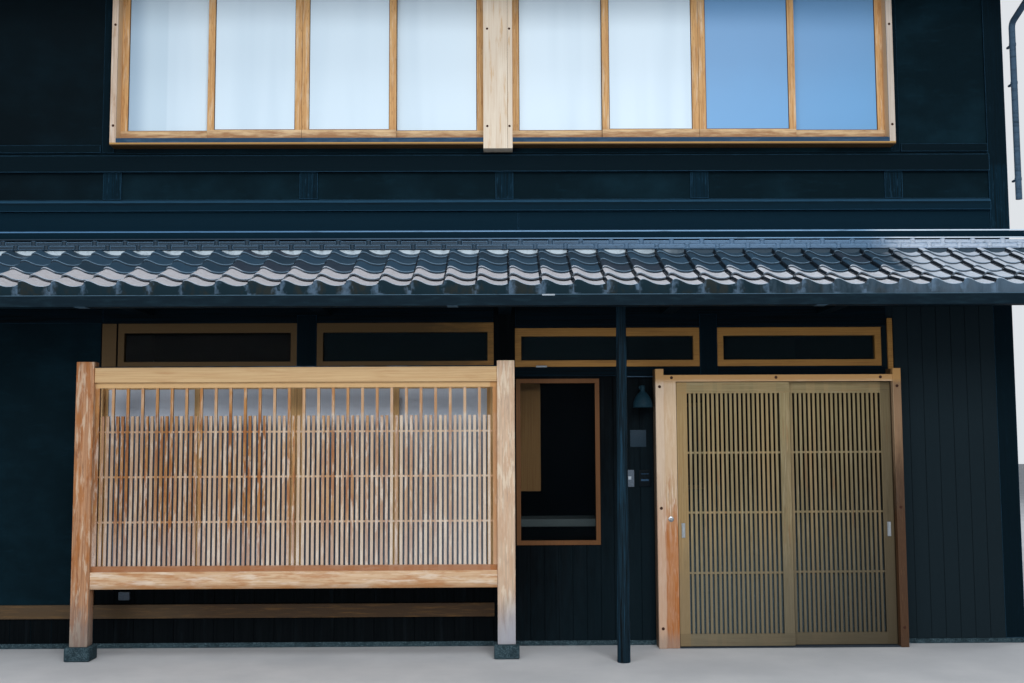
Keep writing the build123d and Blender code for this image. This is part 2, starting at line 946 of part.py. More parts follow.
def main():
    os.makedirs("parts", exist_ok=True)
    write("foundation", foundation())
    write("upper_floor", upper_floor())
    write("corner_posts", corner_posts())
    write("left_party_wall", party_wall(-outer_x, -inner_x))
    write("right_party_wall", party_wall(inner_x, outer_x))
    write("front_wall_left", [street_wall(-inner_x, street_window[0], foundation_top, belt_bottom)])
    write("front_wall_under_window", [street_wall(*street_window, foundation_top, street_sill)])
    write("front_wall_over_window", wall_over_window())
    write("centre_post", centre_post())
    write("front_wall_reception", reception_wall())
    write("front_wall_over_door", wall_over_door())
    write("front_wall_right", [street_wall(door_right, inner_x, foundation_top, belt_bottom)])
    write("front_upper_wall", upper_street_wall())
    write("rear_lower_wall", rear_wall(foundation_top, belt_bottom, rear_lower_sill, rear_lower_head))
    write("rear_upper_wall", rear_wall(belt_bottom, None, rear_upper_sill, rear_upper_head))
    rear_frames, rear_panes = rear_windows()
    write("rear_window_frames", rear_frames)
    write("rear_window_glass", rear_panes)
    write("belt_beams", [belt_beam(*lower_beam), belt_beam(*upper_beam)])
    write("belt_struts", belt_struts())
    write("base_rail", base_rail())
    write("window_casing", window_casing())
    write("lower_roof_decks", [lower_deck(), behind(lower_deck())])
    write("lower_roof_tiles", [lower_tiles(), behind(lower_tiles())])
    write("wall_ridge_tiles", [wall_ridge(), behind(wall_ridge())])
    write("eave_purlins", [eave_purlin(), behind(eave_purlin())])
    arms = [eave_arm(x) for x in arm_lines]
    write("eave_arms", arms + [behind(arm) for arm in arms])
    lower_gutter = trough(fascia_back + fascia, gutter_top)
    main_gutter = trough(main_eave + fascia, main_gutter_top())
    write("gutters", [lower_gutter, behind(lower_gutter), main_gutter, behind(main_gutter)])
    write("main_roof_deck", main_deck())
    write("main_roof_tiles", main_tiles())
    write("main_ridge", main_ridge())
    write("bargeboards", bargeboards())
    write("down_pipe", down_pipe())
    frames, panes = transom_lights()
    write("transom_frames", frames)
    reception_frame, reception_pane = reception_window()
    write("reception_window_frame", [reception_frame])
    write("shopfront_glass", panes + [reception_pane])
    write("reception_counter", reception_counter())
    window_frame, window_bank = street_window_pieces()
    write("street_window_frame", [window_frame])
    write("street_window_sashes", [sash for sash, pane in window_bank])
    write("street_window_glass", [pane for sash, pane in window_bank])
    write("box_window_frame", box_frame())
    write("box_window_sill", box_sill())
    write("box_window_post", box_centre_post())
    write("box_window_sashes", [sash for sash, pane in box_sashes()])
    write("box_window_glass", [pane for sash, pane in box_sashes()])
    write("box_window_hood", box_hood())
    write("screen_posts", screen_posts())
    write("screen_stones", screen_stones())
    write("screen_rails", screen_rails())
    write("screen_lattice", screen_lattice())
    write("door_posts", door_posts())
    write("door_lintel", door_lintel())
    write("door_threshold", door_threshold())
    write("door_leaf_left", door_leaf(left_leaf_start(), 0, left_leaf_start() + pull_inset))
    write("door_leaf_right", door_leaf(right_leaf_start(), 1, right_leaf_start() + leaf_width - pull_inset))
    write("door_glass_left", door_glass(left_leaf_start(), 0))
    write("door_glass_right", door_glass(right_leaf_start(), 1))
    write("log_post", log_post())
    write("door_lamp", door_lamp())
    write("wall_fittings", wall_fittings())


main()
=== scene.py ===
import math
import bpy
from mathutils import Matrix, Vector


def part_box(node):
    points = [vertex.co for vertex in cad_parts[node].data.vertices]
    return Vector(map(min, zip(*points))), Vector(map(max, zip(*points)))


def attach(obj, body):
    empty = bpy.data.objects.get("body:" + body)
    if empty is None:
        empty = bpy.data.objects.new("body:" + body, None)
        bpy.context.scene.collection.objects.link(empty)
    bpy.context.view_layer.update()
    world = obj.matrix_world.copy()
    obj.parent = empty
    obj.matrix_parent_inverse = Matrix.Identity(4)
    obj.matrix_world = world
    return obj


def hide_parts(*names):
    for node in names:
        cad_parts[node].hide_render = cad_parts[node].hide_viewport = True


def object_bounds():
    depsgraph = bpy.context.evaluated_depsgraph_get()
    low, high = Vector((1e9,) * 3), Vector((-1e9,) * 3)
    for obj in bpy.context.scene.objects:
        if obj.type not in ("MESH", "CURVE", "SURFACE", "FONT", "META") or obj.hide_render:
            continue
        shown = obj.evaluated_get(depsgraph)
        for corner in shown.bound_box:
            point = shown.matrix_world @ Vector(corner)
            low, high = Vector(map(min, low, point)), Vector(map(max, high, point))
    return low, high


bl_info = {
    "name": "Machiya townhouse finish",
    "version": (1, 0, 0),
    "blender": (4, 5, 0),
    "location": "3D View > Sidebar > Townhouse",
    "description": "Tiles, boards, panes, fittings and finishes for a two-storey timber townhouse",
    "category": "Add Mesh",
}

import bpy
from bpy.props import FloatProperty, FloatVectorProperty, PointerProperty
from mathutils import Matrix, Vector

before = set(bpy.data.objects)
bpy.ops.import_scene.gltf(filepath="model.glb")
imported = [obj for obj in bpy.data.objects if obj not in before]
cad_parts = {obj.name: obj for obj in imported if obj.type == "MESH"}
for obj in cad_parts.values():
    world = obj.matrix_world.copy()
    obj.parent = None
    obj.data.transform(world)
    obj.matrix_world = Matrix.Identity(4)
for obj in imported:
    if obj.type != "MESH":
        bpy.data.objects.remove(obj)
cad_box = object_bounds()


def linear(code):
    """Turns an sRGB hex colour into the linear colour that Blender's sockets hold."""
    parts = [int(code[i : i + 2], 16) / 255 for i in (1, 3, 5)]
    return tuple(c / 12.92 if c <= 0.04045 else ((c + 0.055) / 1.055) ** 2.4 for c in parts) + (1.0,)


def colour(name, description, code):
    settings = {"size": 4, "subtype": "COLOR", "min": 0, "max": 1}
    return FloatVectorProperty(name=name, description=description, default=linear(code), **settings)


def length(name, description, metres):
    return FloatProperty(name=name, description=description, default=metres, min=0, unit="LENGTH")


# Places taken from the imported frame

wall_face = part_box("front_wall_left")[0].y
roof_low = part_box("lower_roof_tiles")[0]
main_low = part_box("main_roof_tiles")[0]

# Sizes that several pieces share, in metres. The roofs end 2 mm inside the solids' end faces.

ROOF_SLOPE = 0.45
SLOPE_ANGLE = math.atan(ROOF_SLOPE)
TILE_COLUMNS = 39
TILE_PLAY = 0.002
ROOF_END = cad_box[1][0] - 0.002
POST_FACE = 4.458
BOARD_FOOT = 0.042


def out(distance):
    """Y of a place that stands this far out from the street wall face."""
    return wall_face - distance


class RoofSizes(bpy.types.PropertyGroup):
    pitch: length("Tile pitch", "Width that one roof tile covers", 0.240)
    course: length("Tile course", "Length of a roof tile that shows, along the slope", 0.220)
    lap: length("Tile lap", "Length of a roof tile under the next course", 0.060)
    thick: length("Tile thickness", "Thickness of the fired clay", 0.015)
    bed: length("Tile bed", "Height of a tile's pan over the roof boards at its butt", 0.049)
    lift: length("Eave lift", "Height by which the first course of the lower roof is raised", 0.023)
    lip: length("Eave lip", "Depth of the flat face under the first course's pan", 0.045)
    first_roll: FloatProperty(
        name="First roll", description="X of the first roof tile's left edge", default=-4.627, unit="LENGTH"
    )
    ridge_tile: length("Ridge tile", "Length of a flat ridge tile", 0.2485)


class WallSizes(bpy.types.PropertyGroup):
    board_thick: length("Board thickness", "Thickness of the wall boards", 0.007)
    board_gap: length("Board gap", "Gap between two wall boards", 0.004)
    board_round: length("Board edge", "Rounding of the wall boards' edges", 0.002)


class DarkColours(bpy.types.PropertyGroup):
    timber: colour("Stained timber", "Blue-black stain on beams and posts", "#0a171e")
    timber_blue: colour("Rained stain", "Stain that rain has turned bluer over the lower roof", "#0d2330")
    timber_worn: colour("Worn stain", "Bluish grey where rain has worn the stain off an edge", "#2f5570")
    boards: colour("Stained boards", "Nearly black stain on the wall boards", "#0b0f12")
    plaster: colour("Dark plaster", "Blue-black trowelled plaster", "#0a1920")
    plaster_light: colour("Plaster bloom", "Pale bloom on the plaster", "#132c38")
    log: colour("Log stain", "Blue-black stain on the peeled log", "#172b37")


class WoodColours(bpy.types.PropertyGroup):
    honey: colour("Honey cypress", "Oiled cypress of the screen's top rail", "#cdae82")
    honey_dark: colour("Honey grain", "Darker late wood of the cypress", "#a9794a")
    bleached: colour("Bleached cypress", "Cypress washed pale by rain", "#dccdb6")
    pink: colour("Bare cypress", "Cypress heartwood without oil", "#c59b78")
    rust: colour("Tannin stain", "Orange-brown stain that rain draws out", "#a5672f")
    khaki: colour("Khaki cedar", "Cedar of the sliding doors", "#8b7e5e")
    khaki_dark: colour("Khaki grain", "Darker late wood of the cedar", "#665a3f")
    brown: colour("Red-brown wood", "Frame of the reception window", "#623e1d")
    rail: colour("Rail wood", "Weathered wood of the base rail", "#3e2b14")


class RoofColours(bpy.types.PropertyGroup):
    # Painted shade: the dark colours of the lower roof's courses under the window above
    shaded: colour("Shaded tile", "Smoked clay painted dark as shade under the window above", "#2f485c")
    shaded_dark: colour("Darker tile", "Hard-fired tile of the courses in painted shade", "#263948")
    # Painted sunlight: the pale colours of the two eave courses and of the right-hand end
    sunlit: colour("Sunlit tile", "Smoked clay painted pale as sunlight", "#c2c3ca")
    sunlit_end: colour("Sunlit end tile", "Smoked clay painted pale as sunlight at the right-hand end", "#cfdae8")
    main: colour("Main roof tile", "Smoked clay of the open main roof", "#6c757e")
    main_light: colour("Silvered main tile", "Silvered clay of the open main roof", "#8f979e")
    # Painted shade in the joints and on the butts, and a partly painted highlight on the butts' upper edges
    joint: colour("Tile joint", "Painted shade in the joints and on the butts of tiles", "#0d161f")
    edge: colour("Tile edge", "Worn upper edge of a tile's butt, partly painted highlight", "#6c8ba4")
    lip: colour("Eave lip", "Damp dark clay of the eave lips", "#182a33")
    smudge: colour("Joint smudge", "Lime that runs down the eave lips at the joints", "#637c95")
    ridge: colour("Ridge tile", "Flat ridge tiles against the wall", "#132938")
    ridge_light: colour("Washed ridge tile", "Flat ridge tiles where rain reaches them", "#5f7f9f")
    mortar: colour("Lime mortar", "Lime mortar under the flat ridge tiles", "#b4c4cf")
    # Partly a painted sky reflection
    flashing: colour("Flashing", "Blue-grey edge of the sheet metal over the wall ridge, partly painted sky reflection", "#6f97bb")
    gutter: colour("Gutter", "Painted sheet steel", "#0e1c25")
    pipe: colour("Pipe", "Grey-blue painted pipe", "#40566a")


class PaneColours(bpy.types.PropertyGroup):
    paper: colour("Papered pane", "White film behind the upper panes", "#cfe2f0")
    paper_shade: colour("Film fold", "Bluer fold of the white film", "#b9cfe0")
    # Painted sky reflection in the last two upper panes
    sky: colour("Blue pane", "Painted sky reflection in the last upper panes", "#6c9bc9")
    # Painted shade darkens the frosted glass behind the screen's bars
    frosted: colour("Frosted pane", "Frosted glass behind the screen, darkened as painted shade", "#4d5c6e")
    frosted_light: colour("Frosted streak", "Paler streak in the frosted glass", "#6b7e94")
    dark: colour("Dark pane", "Clear glass before a dark room", "#070c10")


# Modelling helpers


def deselect():
    bpy.ops.object.select_all(action="DESELECT")


def pick(piece):
    """Selects one object alone and makes it active."""
    deselect()
    piece.select_set(True)
    bpy.context.view_layer.objects.active = piece


def settle(piece):
    """Puts an object's place, turn and size into its mesh."""
    pick(piece)
    bpy.ops.object.transform_apply(location=True, rotation=True, scale=True)


def select_where(piece, kind, test):
    """In edit mode, selects the vertices, edges or faces whose middle passes a test, and nothing else."""
    bpy.ops.mesh.select_mode(type={"verts": "VERT", "edges": "EDGE", "faces": "FACE"}[kind])
    bpy.ops.mesh.select_all(action="DESELECT")
    bpy.ops.object.mode_set(mode="OBJECT")
    mesh = piece.data
    for item in {"verts": mesh.vertices, "edges": mesh.edges, "faces": mesh.polygons}[kind]:
        if kind == "verts":
            chosen = test(item.co)
        elif kind == "edges":
            a, b = (mesh.vertices[i].co for i in item.vertices)
            chosen = test((a + b) / 2)
        else:
            chosen = test(item.center, item.normal)
        item.select = chosen
    bpy.ops.object.mode_set(mode="EDIT")


def edit(piece):
    pick(piece)
    bpy.ops.object.mode_set(mode="EDIT")


def leave():
    bpy.ops.object.mode_set(mode="OBJECT")


def box(name, low, high, edge, segments=2):
    """Starts from a cube between two corners and rounds its edges."""
    deselect()
    low, high = Vector(low), Vector(high)
    bpy.ops.mesh.primitive_cube_add(size=1, location=(low + high) / 2)
    piece = bpy.context.object
    piece.name = name
    piece.scale = high - low
    settle(piece)
    edit(piece)
    bpy.ops.mesh.select_all(action="SELECT")
    bpy.ops.mesh.bevel(offset=edge, segments=segments, affect="EDGES")
    leave()
    return piece


def inset_face(piece, normal, margin, depth):
    """Insets the faces that look one way and moves the inner face by a depth."""
    edit(piece)
    normal = Vector(normal)
    reach = max(normal.dot(face.center) for face in piece.data.polygons)
    select_where(piece, "faces", lambda spot, n: n.dot(normal) > 0.99 and normal.dot(spot) > reach - 1e-4)
    bpy.ops.mesh.inset(thickness=margin, depth=0)
    bpy.ops.mesh.extrude_region_move(TRANSFORM_OT_translate={"value": normal * depth})
    leave()
    return piece


def on_wall(name, across, upright, proud, edge, segments=2, behind=0.0):
    """Box on the street wall between two X and two Z, with its face and its back so far out from the wall."""
    (left, right), (bottom, top) = across, upright
    return box(name, (left, out(proud), bottom), (right, out(behind), top), edge, segments)


def turned(name, middle, direction, rings, sides):
    """Turned solid: a circle extruded through rings of (distance along the axis, radius)."""
    deselect()
    start, radius = rings[0]
    place = (0, 0, start)
    bpy.ops.mesh.primitive_circle_add(vertices=sides, radius=radius, fill_type="NGON", location=place)
    piece = bpy.context.object
    piece.name = name
    settle(piece)
    edit(piece)
    bpy.ops.mesh.select_all(action="SELECT")
    for end, wide in rings[1:]:
        bpy.ops.mesh.extrude_region_move(TRANSFORM_OT_translate={"value": (0, 0, end - start)})
        bpy.ops.transform.resize(value=(wide / radius, wide / radius, 1), center_override=(0, 0, end))
        start, radius = end, wide
    bpy.ops.mesh.select_all(action="SELECT")
    bpy.ops.mesh.normals_make_consistent(inside=False)
    leave()
    turn = Vector(direction).to_track_quat("Z", "Y").to_matrix().to_4x4()
    piece.matrix_world = Matrix.Translation(middle) @ turn
    settle(piece)
    return piece


def folded(name, x0, x1, points, thick):
    """Sheet that runs from x0 to x1, folded through points of (Y, Z) and thickened above them."""
    deselect()
    bpy.ops.mesh.primitive_plane_add(size=1, location=((x0 + x1) / 2, 0, 0))
    piece = bpy.context.object
    piece.name = name
    piece.scale = (x1 - x0, 1, 1)
    settle(piece)
    (ya, za), (yb, zb) = points[0], points[1]
    edit(piece)
    select_where(piece, "edges", lambda middle: middle.y < -0.4)
    bpy.ops.transform.translate(value=(0, ya + 0.5, za))
    select_where(piece, "edges", lambda middle: abs(middle.y - 0.5) < 1e-6 and abs(middle.z) < 1e-6)
    bpy.ops.transform.translate(value=(0, yb - 0.5, zb))
    for y, z in points[2:]:
        bpy.ops.mesh.extrude_edges_move(TRANSFORM_OT_translate={"value": (0, y - yb, z - zb)})
        yb, zb = y, z
    leave()
    return thicken(piece, thick, 1)


def apply_modifier(piece, name, kind, **settings):
    pick(piece)
    modifier = piece.modifiers.new(name, kind)
    for key, value in settings.items():
        setattr(modifier, key, value)
    bpy.ops.object.modifier_apply(modifier=modifier.name)
    return piece


def thicken(piece, thick, offset=-1):
    return apply_modifier(piece, "Thickness", "SOLIDIFY", thickness=thick, offset=offset)


def row(piece, count, step):
    """Repeats a piece along a step, all in one mesh."""
    settings = {"use_relative_offset": False, "use_constant_offset": True, "constant_offset_displace": step}
    return apply_modifier(piece, "Row", "ARRAY", count=count, **settings)


def join(name, pieces):
    deselect()
    for piece in pieces:
        piece.select_set(True)
    bpy.context.view_layer.objects.active = pieces[0]
    bpy.ops.object.join()
    joined = bpy.context.object
    joined.name = name
    return joined


def to_rear(piece):
    """Copy of a street-side piece with its own mesh, turned half round for the garden side."""
    pick(piece)
    bpy.ops.object.duplicate(linked=False)
    made = bpy.context.object
    made.name = piece.name.replace("street", "garden")
    made.matrix_world = Matrix.Rotation(math.pi, 4, "Z")
    settle(made)
    return made


def finish_both(piece, material, replaces=()):
    """Finishes a street-side piece and its copy on the garden side."""
    rear = to_rear(piece)
    finish(piece, material, replaces=replaces)
    finish(rear, material, replaces=replaces)


def finish(piece, material, body="root", replaces=(), smooth=35):
    """Gives a piece its material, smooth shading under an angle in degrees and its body."""
    pick(piece)
    piece.data.materials.clear()
    piece.data.materials.append(bpy.data.materials[material])
    bpy.ops.object.shade_smooth_by_angle(angle=math.radians(smooth))
    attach(piece, body)
    if replaces:
        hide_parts(*replaces)
    return piece


# Material helpers


def add_node(tree, kind, settings, outlet=0):
    """Adds a shader node and gives one of its outputs.

    A setting that is itself an output is linked, and a colour may be given by its hex code.
    """
    made = tree.nodes.new("ShaderNode" + kind)
    for key, value in settings.items():
        if isinstance(value, bpy.types.NodeSocket):
            tree.links.new(value, made.inputs[key])
        elif isinstance(key, int) or key in made.inputs:
            is_code = isinstance(value, str) and value.startswith("#")
            made.inputs[key].default_value = linear(value) if is_code else value
        else:
            setattr(made, key, value)
    return made.outputs[outlet] if made.outputs else None


def start_material(name, roughness, gloss=0.5, **sockets):
    """New material with the shader sockets that are the same all over, and the object's own coordinates."""
    material = bpy.data.materials.new(name)
    material.use_nodes = True
    tree = material.node_tree
    for key, value in {"Roughness": roughness, "Specular IOR Level": gloss, **sockets}.items():
        tree.nodes["Principled BSDF"].inputs[key].default_value = value
    return tree, add_node(tree, "TexCoord", {}, "Object")


def paint(tree, tone, height, depth, strength):
    """Gives the shader its colour and the relief of a height, of a depth in metres and a strength."""
    shader = tree.nodes["Principled BSDF"]
    tree.links.new(tone, shader.inputs["Base Color"])
    bump = add_node(tree, "Bump", {"Strength": strength, "Distance": depth, "Height": height})
    tree.links.new(bump, shader.inputs["Normal"])


def mottle(tree, place, size, detail=4.0, shift=0.0):
    """Cloudy pattern whose features measure about a size in millimetres, all ways or along X, Y and Z.

    Its coordinates are in metres, so a feature of 1 mm needs a scale of 1000.
    """
    scale = [1000 / each for each in (size if isinstance(size, tuple) else (size,) * 3)]
    mapped = add_node(tree, "Mapping", {"Vector": place, "Location": (shift,) * 3, "Scale": scale})
    return add_node(tree, "TexNoise", {"Vector": mapped, "Scale": 1.0, "Detail": detail, "Roughness": 0.6})


def lay(tree, under, over, pattern, low, high, most=1.0):
    """Lays one colour over another, from none where a pattern is low to most where it is high."""
    ramp = {"interpolation_type": "SMOOTHSTEP", "Value": pattern, "To Max": most}
    amount = add_node(tree, "MapRange", {**ramp, "From Min": low, "From Max": high})
    return add_node(tree, "Mix", {"data_type": "RGBA", 0: amount, 6: under, 7: over}, 2)


def wander(tree, value, pattern, reach):
    """Shifts a coordinate by a pattern, up to half a reach each way, so that its borders aren't straight."""
    shift = add_node(tree, "Math", {"operation": "MULTIPLY_ADD", 0: pattern, 1: reach, 2: -reach / 2})
    return add_node(tree, "Math", {"operation": "ADD", 0: value, 1: shift})


def ragged(tree, value, place, size, reach):
    """Coordinate that wanders by cloudy patches of a size."""
    return wander(tree, value, mottle(tree, place, size), reach)


def fibres(tree, place, direction, across, along, shift=0.0):
    """Pattern that is fine across the grain and long along it, both in millimetres."""
    size = tuple(along if axis == direction else across for axis in "XYZ")
    return mottle(tree, place, size, 5.0, shift)


def worn_edges(tree, radius):
    """High along edges, where a rounded normal leaves the true one."""
    rounded = add_node(tree, "Bevel", {"samples": 4, "Radius": radius})
    true = add_node(tree, "NewGeometry", {}, "Normal")
    return add_node(tree, "VectorMath", {"operation": "DISTANCE", 0: rounded, 1: true}, "Value")


def wood(
    name, pale, dark, direction="Z", turn=(), patches=(), zones=(), edges=None, bars=None, sides=None,
    contrast=1.0, depth=0.0012, roughness=0.6, gloss=0.25,
):
    """Planed softwood: growth lines and fibres along the grain, weather patches and zones, and worn edges.

    turn lists heights (low, high) between which the grain runs the other way. A patch is (colour, low,
    high, millimetres across, millimetres along, most). A zone is (colour, direction, from, to, most) and
    the metres by which its border is ragged. bars (left end, pitch, colour, most) gives each upright bar its
    own grain and tint, sides (colour, most) darkens the faces that look along X as painted shade, such as
    the sides of bars in their gaps, and edges is (colour, radius, most).
    """
    tree, place = start_material(name, roughness, gloss)
    x, y, z = add_node(tree, "SeparateXYZ", {0: place}).node.outputs
    grain = place
    if bars:
        left, pitch, bar_tint, bar_most = bars
        bar = add_node(tree, "Math", {"operation": "SUBTRACT", 0: x, 1: left})
        bar = add_node(tree, "Math", {"operation": "SNAP", 0: bar, 1: pitch})
        each = add_node(tree, "TexWhiteNoise", {"noise_dimensions": "1D", "W": bar})
        shift = add_node(tree, "Math", {"operation": "MULTIPLY", 0: each, 1: 9.0})
        shift = add_node(tree, "CombineXYZ", {"Z": shift})
        grain = add_node(tree, "VectorMath", {"operation": "ADD", 0: place, 1: shift})
    for low, high in turn:
        middle, half = (low + high) / 2, (high - low) / 2
        inside = add_node(tree, "Math", {"operation": "COMPARE", 0: z, 1: middle, 2: half})
        swapped = add_node(tree, "CombineXYZ", {0: z, 1: y, 2: x})
        grain = add_node(tree, "Mix", {"data_type": "VECTOR", 0: inside, 4: grain, 5: swapped}, 1)
    # Growth lines are 7 mm wide. Fibres, in truth under 0.5 mm, are drawn 1.8 mm wide so that they show.
    lines = fibres(tree, grain, direction, 7, 520)
    fine = fibres(tree, grain, direction, 1.8, 70)
    tone = lay(tree, pale, dark, lines, 0.42, 0.64, contrast)
    for number, (tint, low, high, across, along, most) in enumerate(patches):
        patch = fibres(tree, grain, direction, across, along, 3.7 + number)
        tone = lay(tree, tone, tint, patch, low, high, most)
    if bars:
        tone = lay(tree, tone, bar_tint, each, 0.25, 0.95, bar_most)
    for tint, axis, start, end, most, *wide in zones:
        reach = wide[0] if wide else abs(end - start) * 0.8
        axis = {"X": (1, 0, 0), "Y": (0, 1, 0), "Z": (0, 0, 1)}.get(axis, axis)
        value = add_node(tree, "VectorMath", {"operation": "DOT_PRODUCT", 0: place, 1: axis}, "Value")
        value = wander(tree, value, fibres(tree, grain, direction, 24, 160), reach)
        tone = lay(tree, tone, tint, value, start, end, most)
    # Painted shade on the faces that look along X, such as the sides of bars in the gaps
    if sides:
        nx = add_node(tree, "SeparateXYZ", {0: add_node(tree, "NewGeometry", {}, "True Normal")}, "X")
        sideways = add_node(tree, "Math", {"operation": "ABSOLUTE", 0: nx})
        tone = lay(tree, tone, sides[0], sideways, 0.6, 0.8, sides[1])
    tone = lay(tree, tone, dark, fine, 0.5, 0.8, 0.35 * contrast)
    if edges:
        tint, radius, most = edges
        rain = mottle(tree, place, (120, 120, 60), 5.0)
        wear = add_node(tree, "Math", {"operation": "MULTIPLY", 0: worn_edges(tree, radius), 1: rain})
        tone = lay(tree, tone, tint, wear, 0.1, 0.32, most)
    paint(tree, tone, add_node(tree, "Math", {"operation": "ADD", 0: lines, 1: fine}), depth, 0.6)


class TOWNHOUSE_OT_materials(bpy.types.Operator):
    """Make the finishes of the townhouse"""

    bl_idname = "townhouse.materials"
    bl_label = "Make finishes"

    def execute(self, context):
        scene = context.scene
        make_dark_finishes(scene.townhouse_dark)
        make_wood_finishes(scene.townhouse_wood)
        make_roof_finishes(scene.townhouse_roof, scene.townhouse_roof_colours)
        make_pane_finishes(scene.townhouse_panes)
        make_fitting_finishes()
        return {"FINISHED"}


def make_dark_finishes(colours):
    # Beams, posts, rafters and wall boards: planed cedar soaked with soot stain, matt, worn bluish by rain
    matt = {"roughness": 0.7, "gloss": 0.012, "depth": 0.0015}
    wood(
        "Stained beam", colours.timber, colours.boards, "X", edges=(colours.timber_worn, 0.010, 0.8),
        zones=(
            (colours.timber_blue, "Z", 3.66, 3.60, 0.9), (colours.timber_worn, "Z", 3.634, 3.645, 0.6),
            (colours.timber, "Z", 3.66, 3.67, 1.0), (colours.timber, "Z", 3.35, 3.30, 1.0),
        ), **matt
    )
    wood("Sheltered board", "#0b1820", colours.boards, "X", edges=(colours.timber_worn, 0.006, 0.4), **matt)
    wood(
        "Stained post", colours.timber_blue, colours.timber, "Z",
        patches=((colours.timber_worn, 0.54, 0.74, 16, 120, 0.3),),
        # From 3.92 m up, under the box window, the posts and struts darken as painted shade
        zones=((colours.timber, "Z", 3.30, 3.10, 0.9), (colours.timber, "Z", 3.92, 3.98, 0.8)),
        edges=(colours.timber_worn, 0.010, 0.6), **matt
    )
    wood("Stained rafter", "#0f1c24", colours.boards, "Y", **matt)
    wood(
        "Stained wall boards", colours.boards, "#070b0e", "Z",
        patches=(("#161d22", 0.5, 0.75, 60, 900, 0.4), ("#05080a", 0.6, 0.72, 22, 60, 0.6)),
        zones=(("#16262e", (1, 0, -0.6), 0.0, 1.2, 0.5), ("#222d33", "X", 3.50, 3.60, 0.5, 0.0)), **matt
    )
    # Log: peeled cedar under the same stain, with long checks from drying and pale ridges between them
    wood(
        "Stained log", colours.log, colours.boards, "Z", roughness=0.65, gloss=0.04, depth=0.004,
        patches=(("#23465c", 0.48, 0.70, 22, 500, 0.6), (colours.boards, 0.60, 0.66, 12, 700, 0.7)),
    )
    # Plaster: lime plaster with soot, steel-trowelled, with a pale bloom, faint trowel marks and grit of
    # 5 mm, and darker at the upper left, under the main eave, which is painted shade
    tree, place = start_material("Dark lime plaster", 0.7, 0.012)
    trowel = mottle(tree, place, (160, 160, 45))
    bloom = mottle(tree, place, (650, 650, 500), 6.0)
    tone = lay(tree, colours.plaster, colours.plaster_light, bloom, 0.40, 0.80, 0.6)
    tone = lay(tree, tone, colours.plaster_light, trowel, 0.55, 0.8, 0.3)
    shade_to_upper_left = add_node(tree, "VectorMath", {"operation": "DOT_PRODUCT", 0: place, 1: (-1, 0, 1)}, "Value")
    tone = lay(tree, tone, colours.boards, shade_to_upper_left, 5.9, 8.0, 0.6)
    relief = add_node(tree, "Math", {"operation": "ADD", 0: trowel, 1: mottle(tree, place, 5)})
    paint(tree, tone, relief, 0.0012, 0.45)


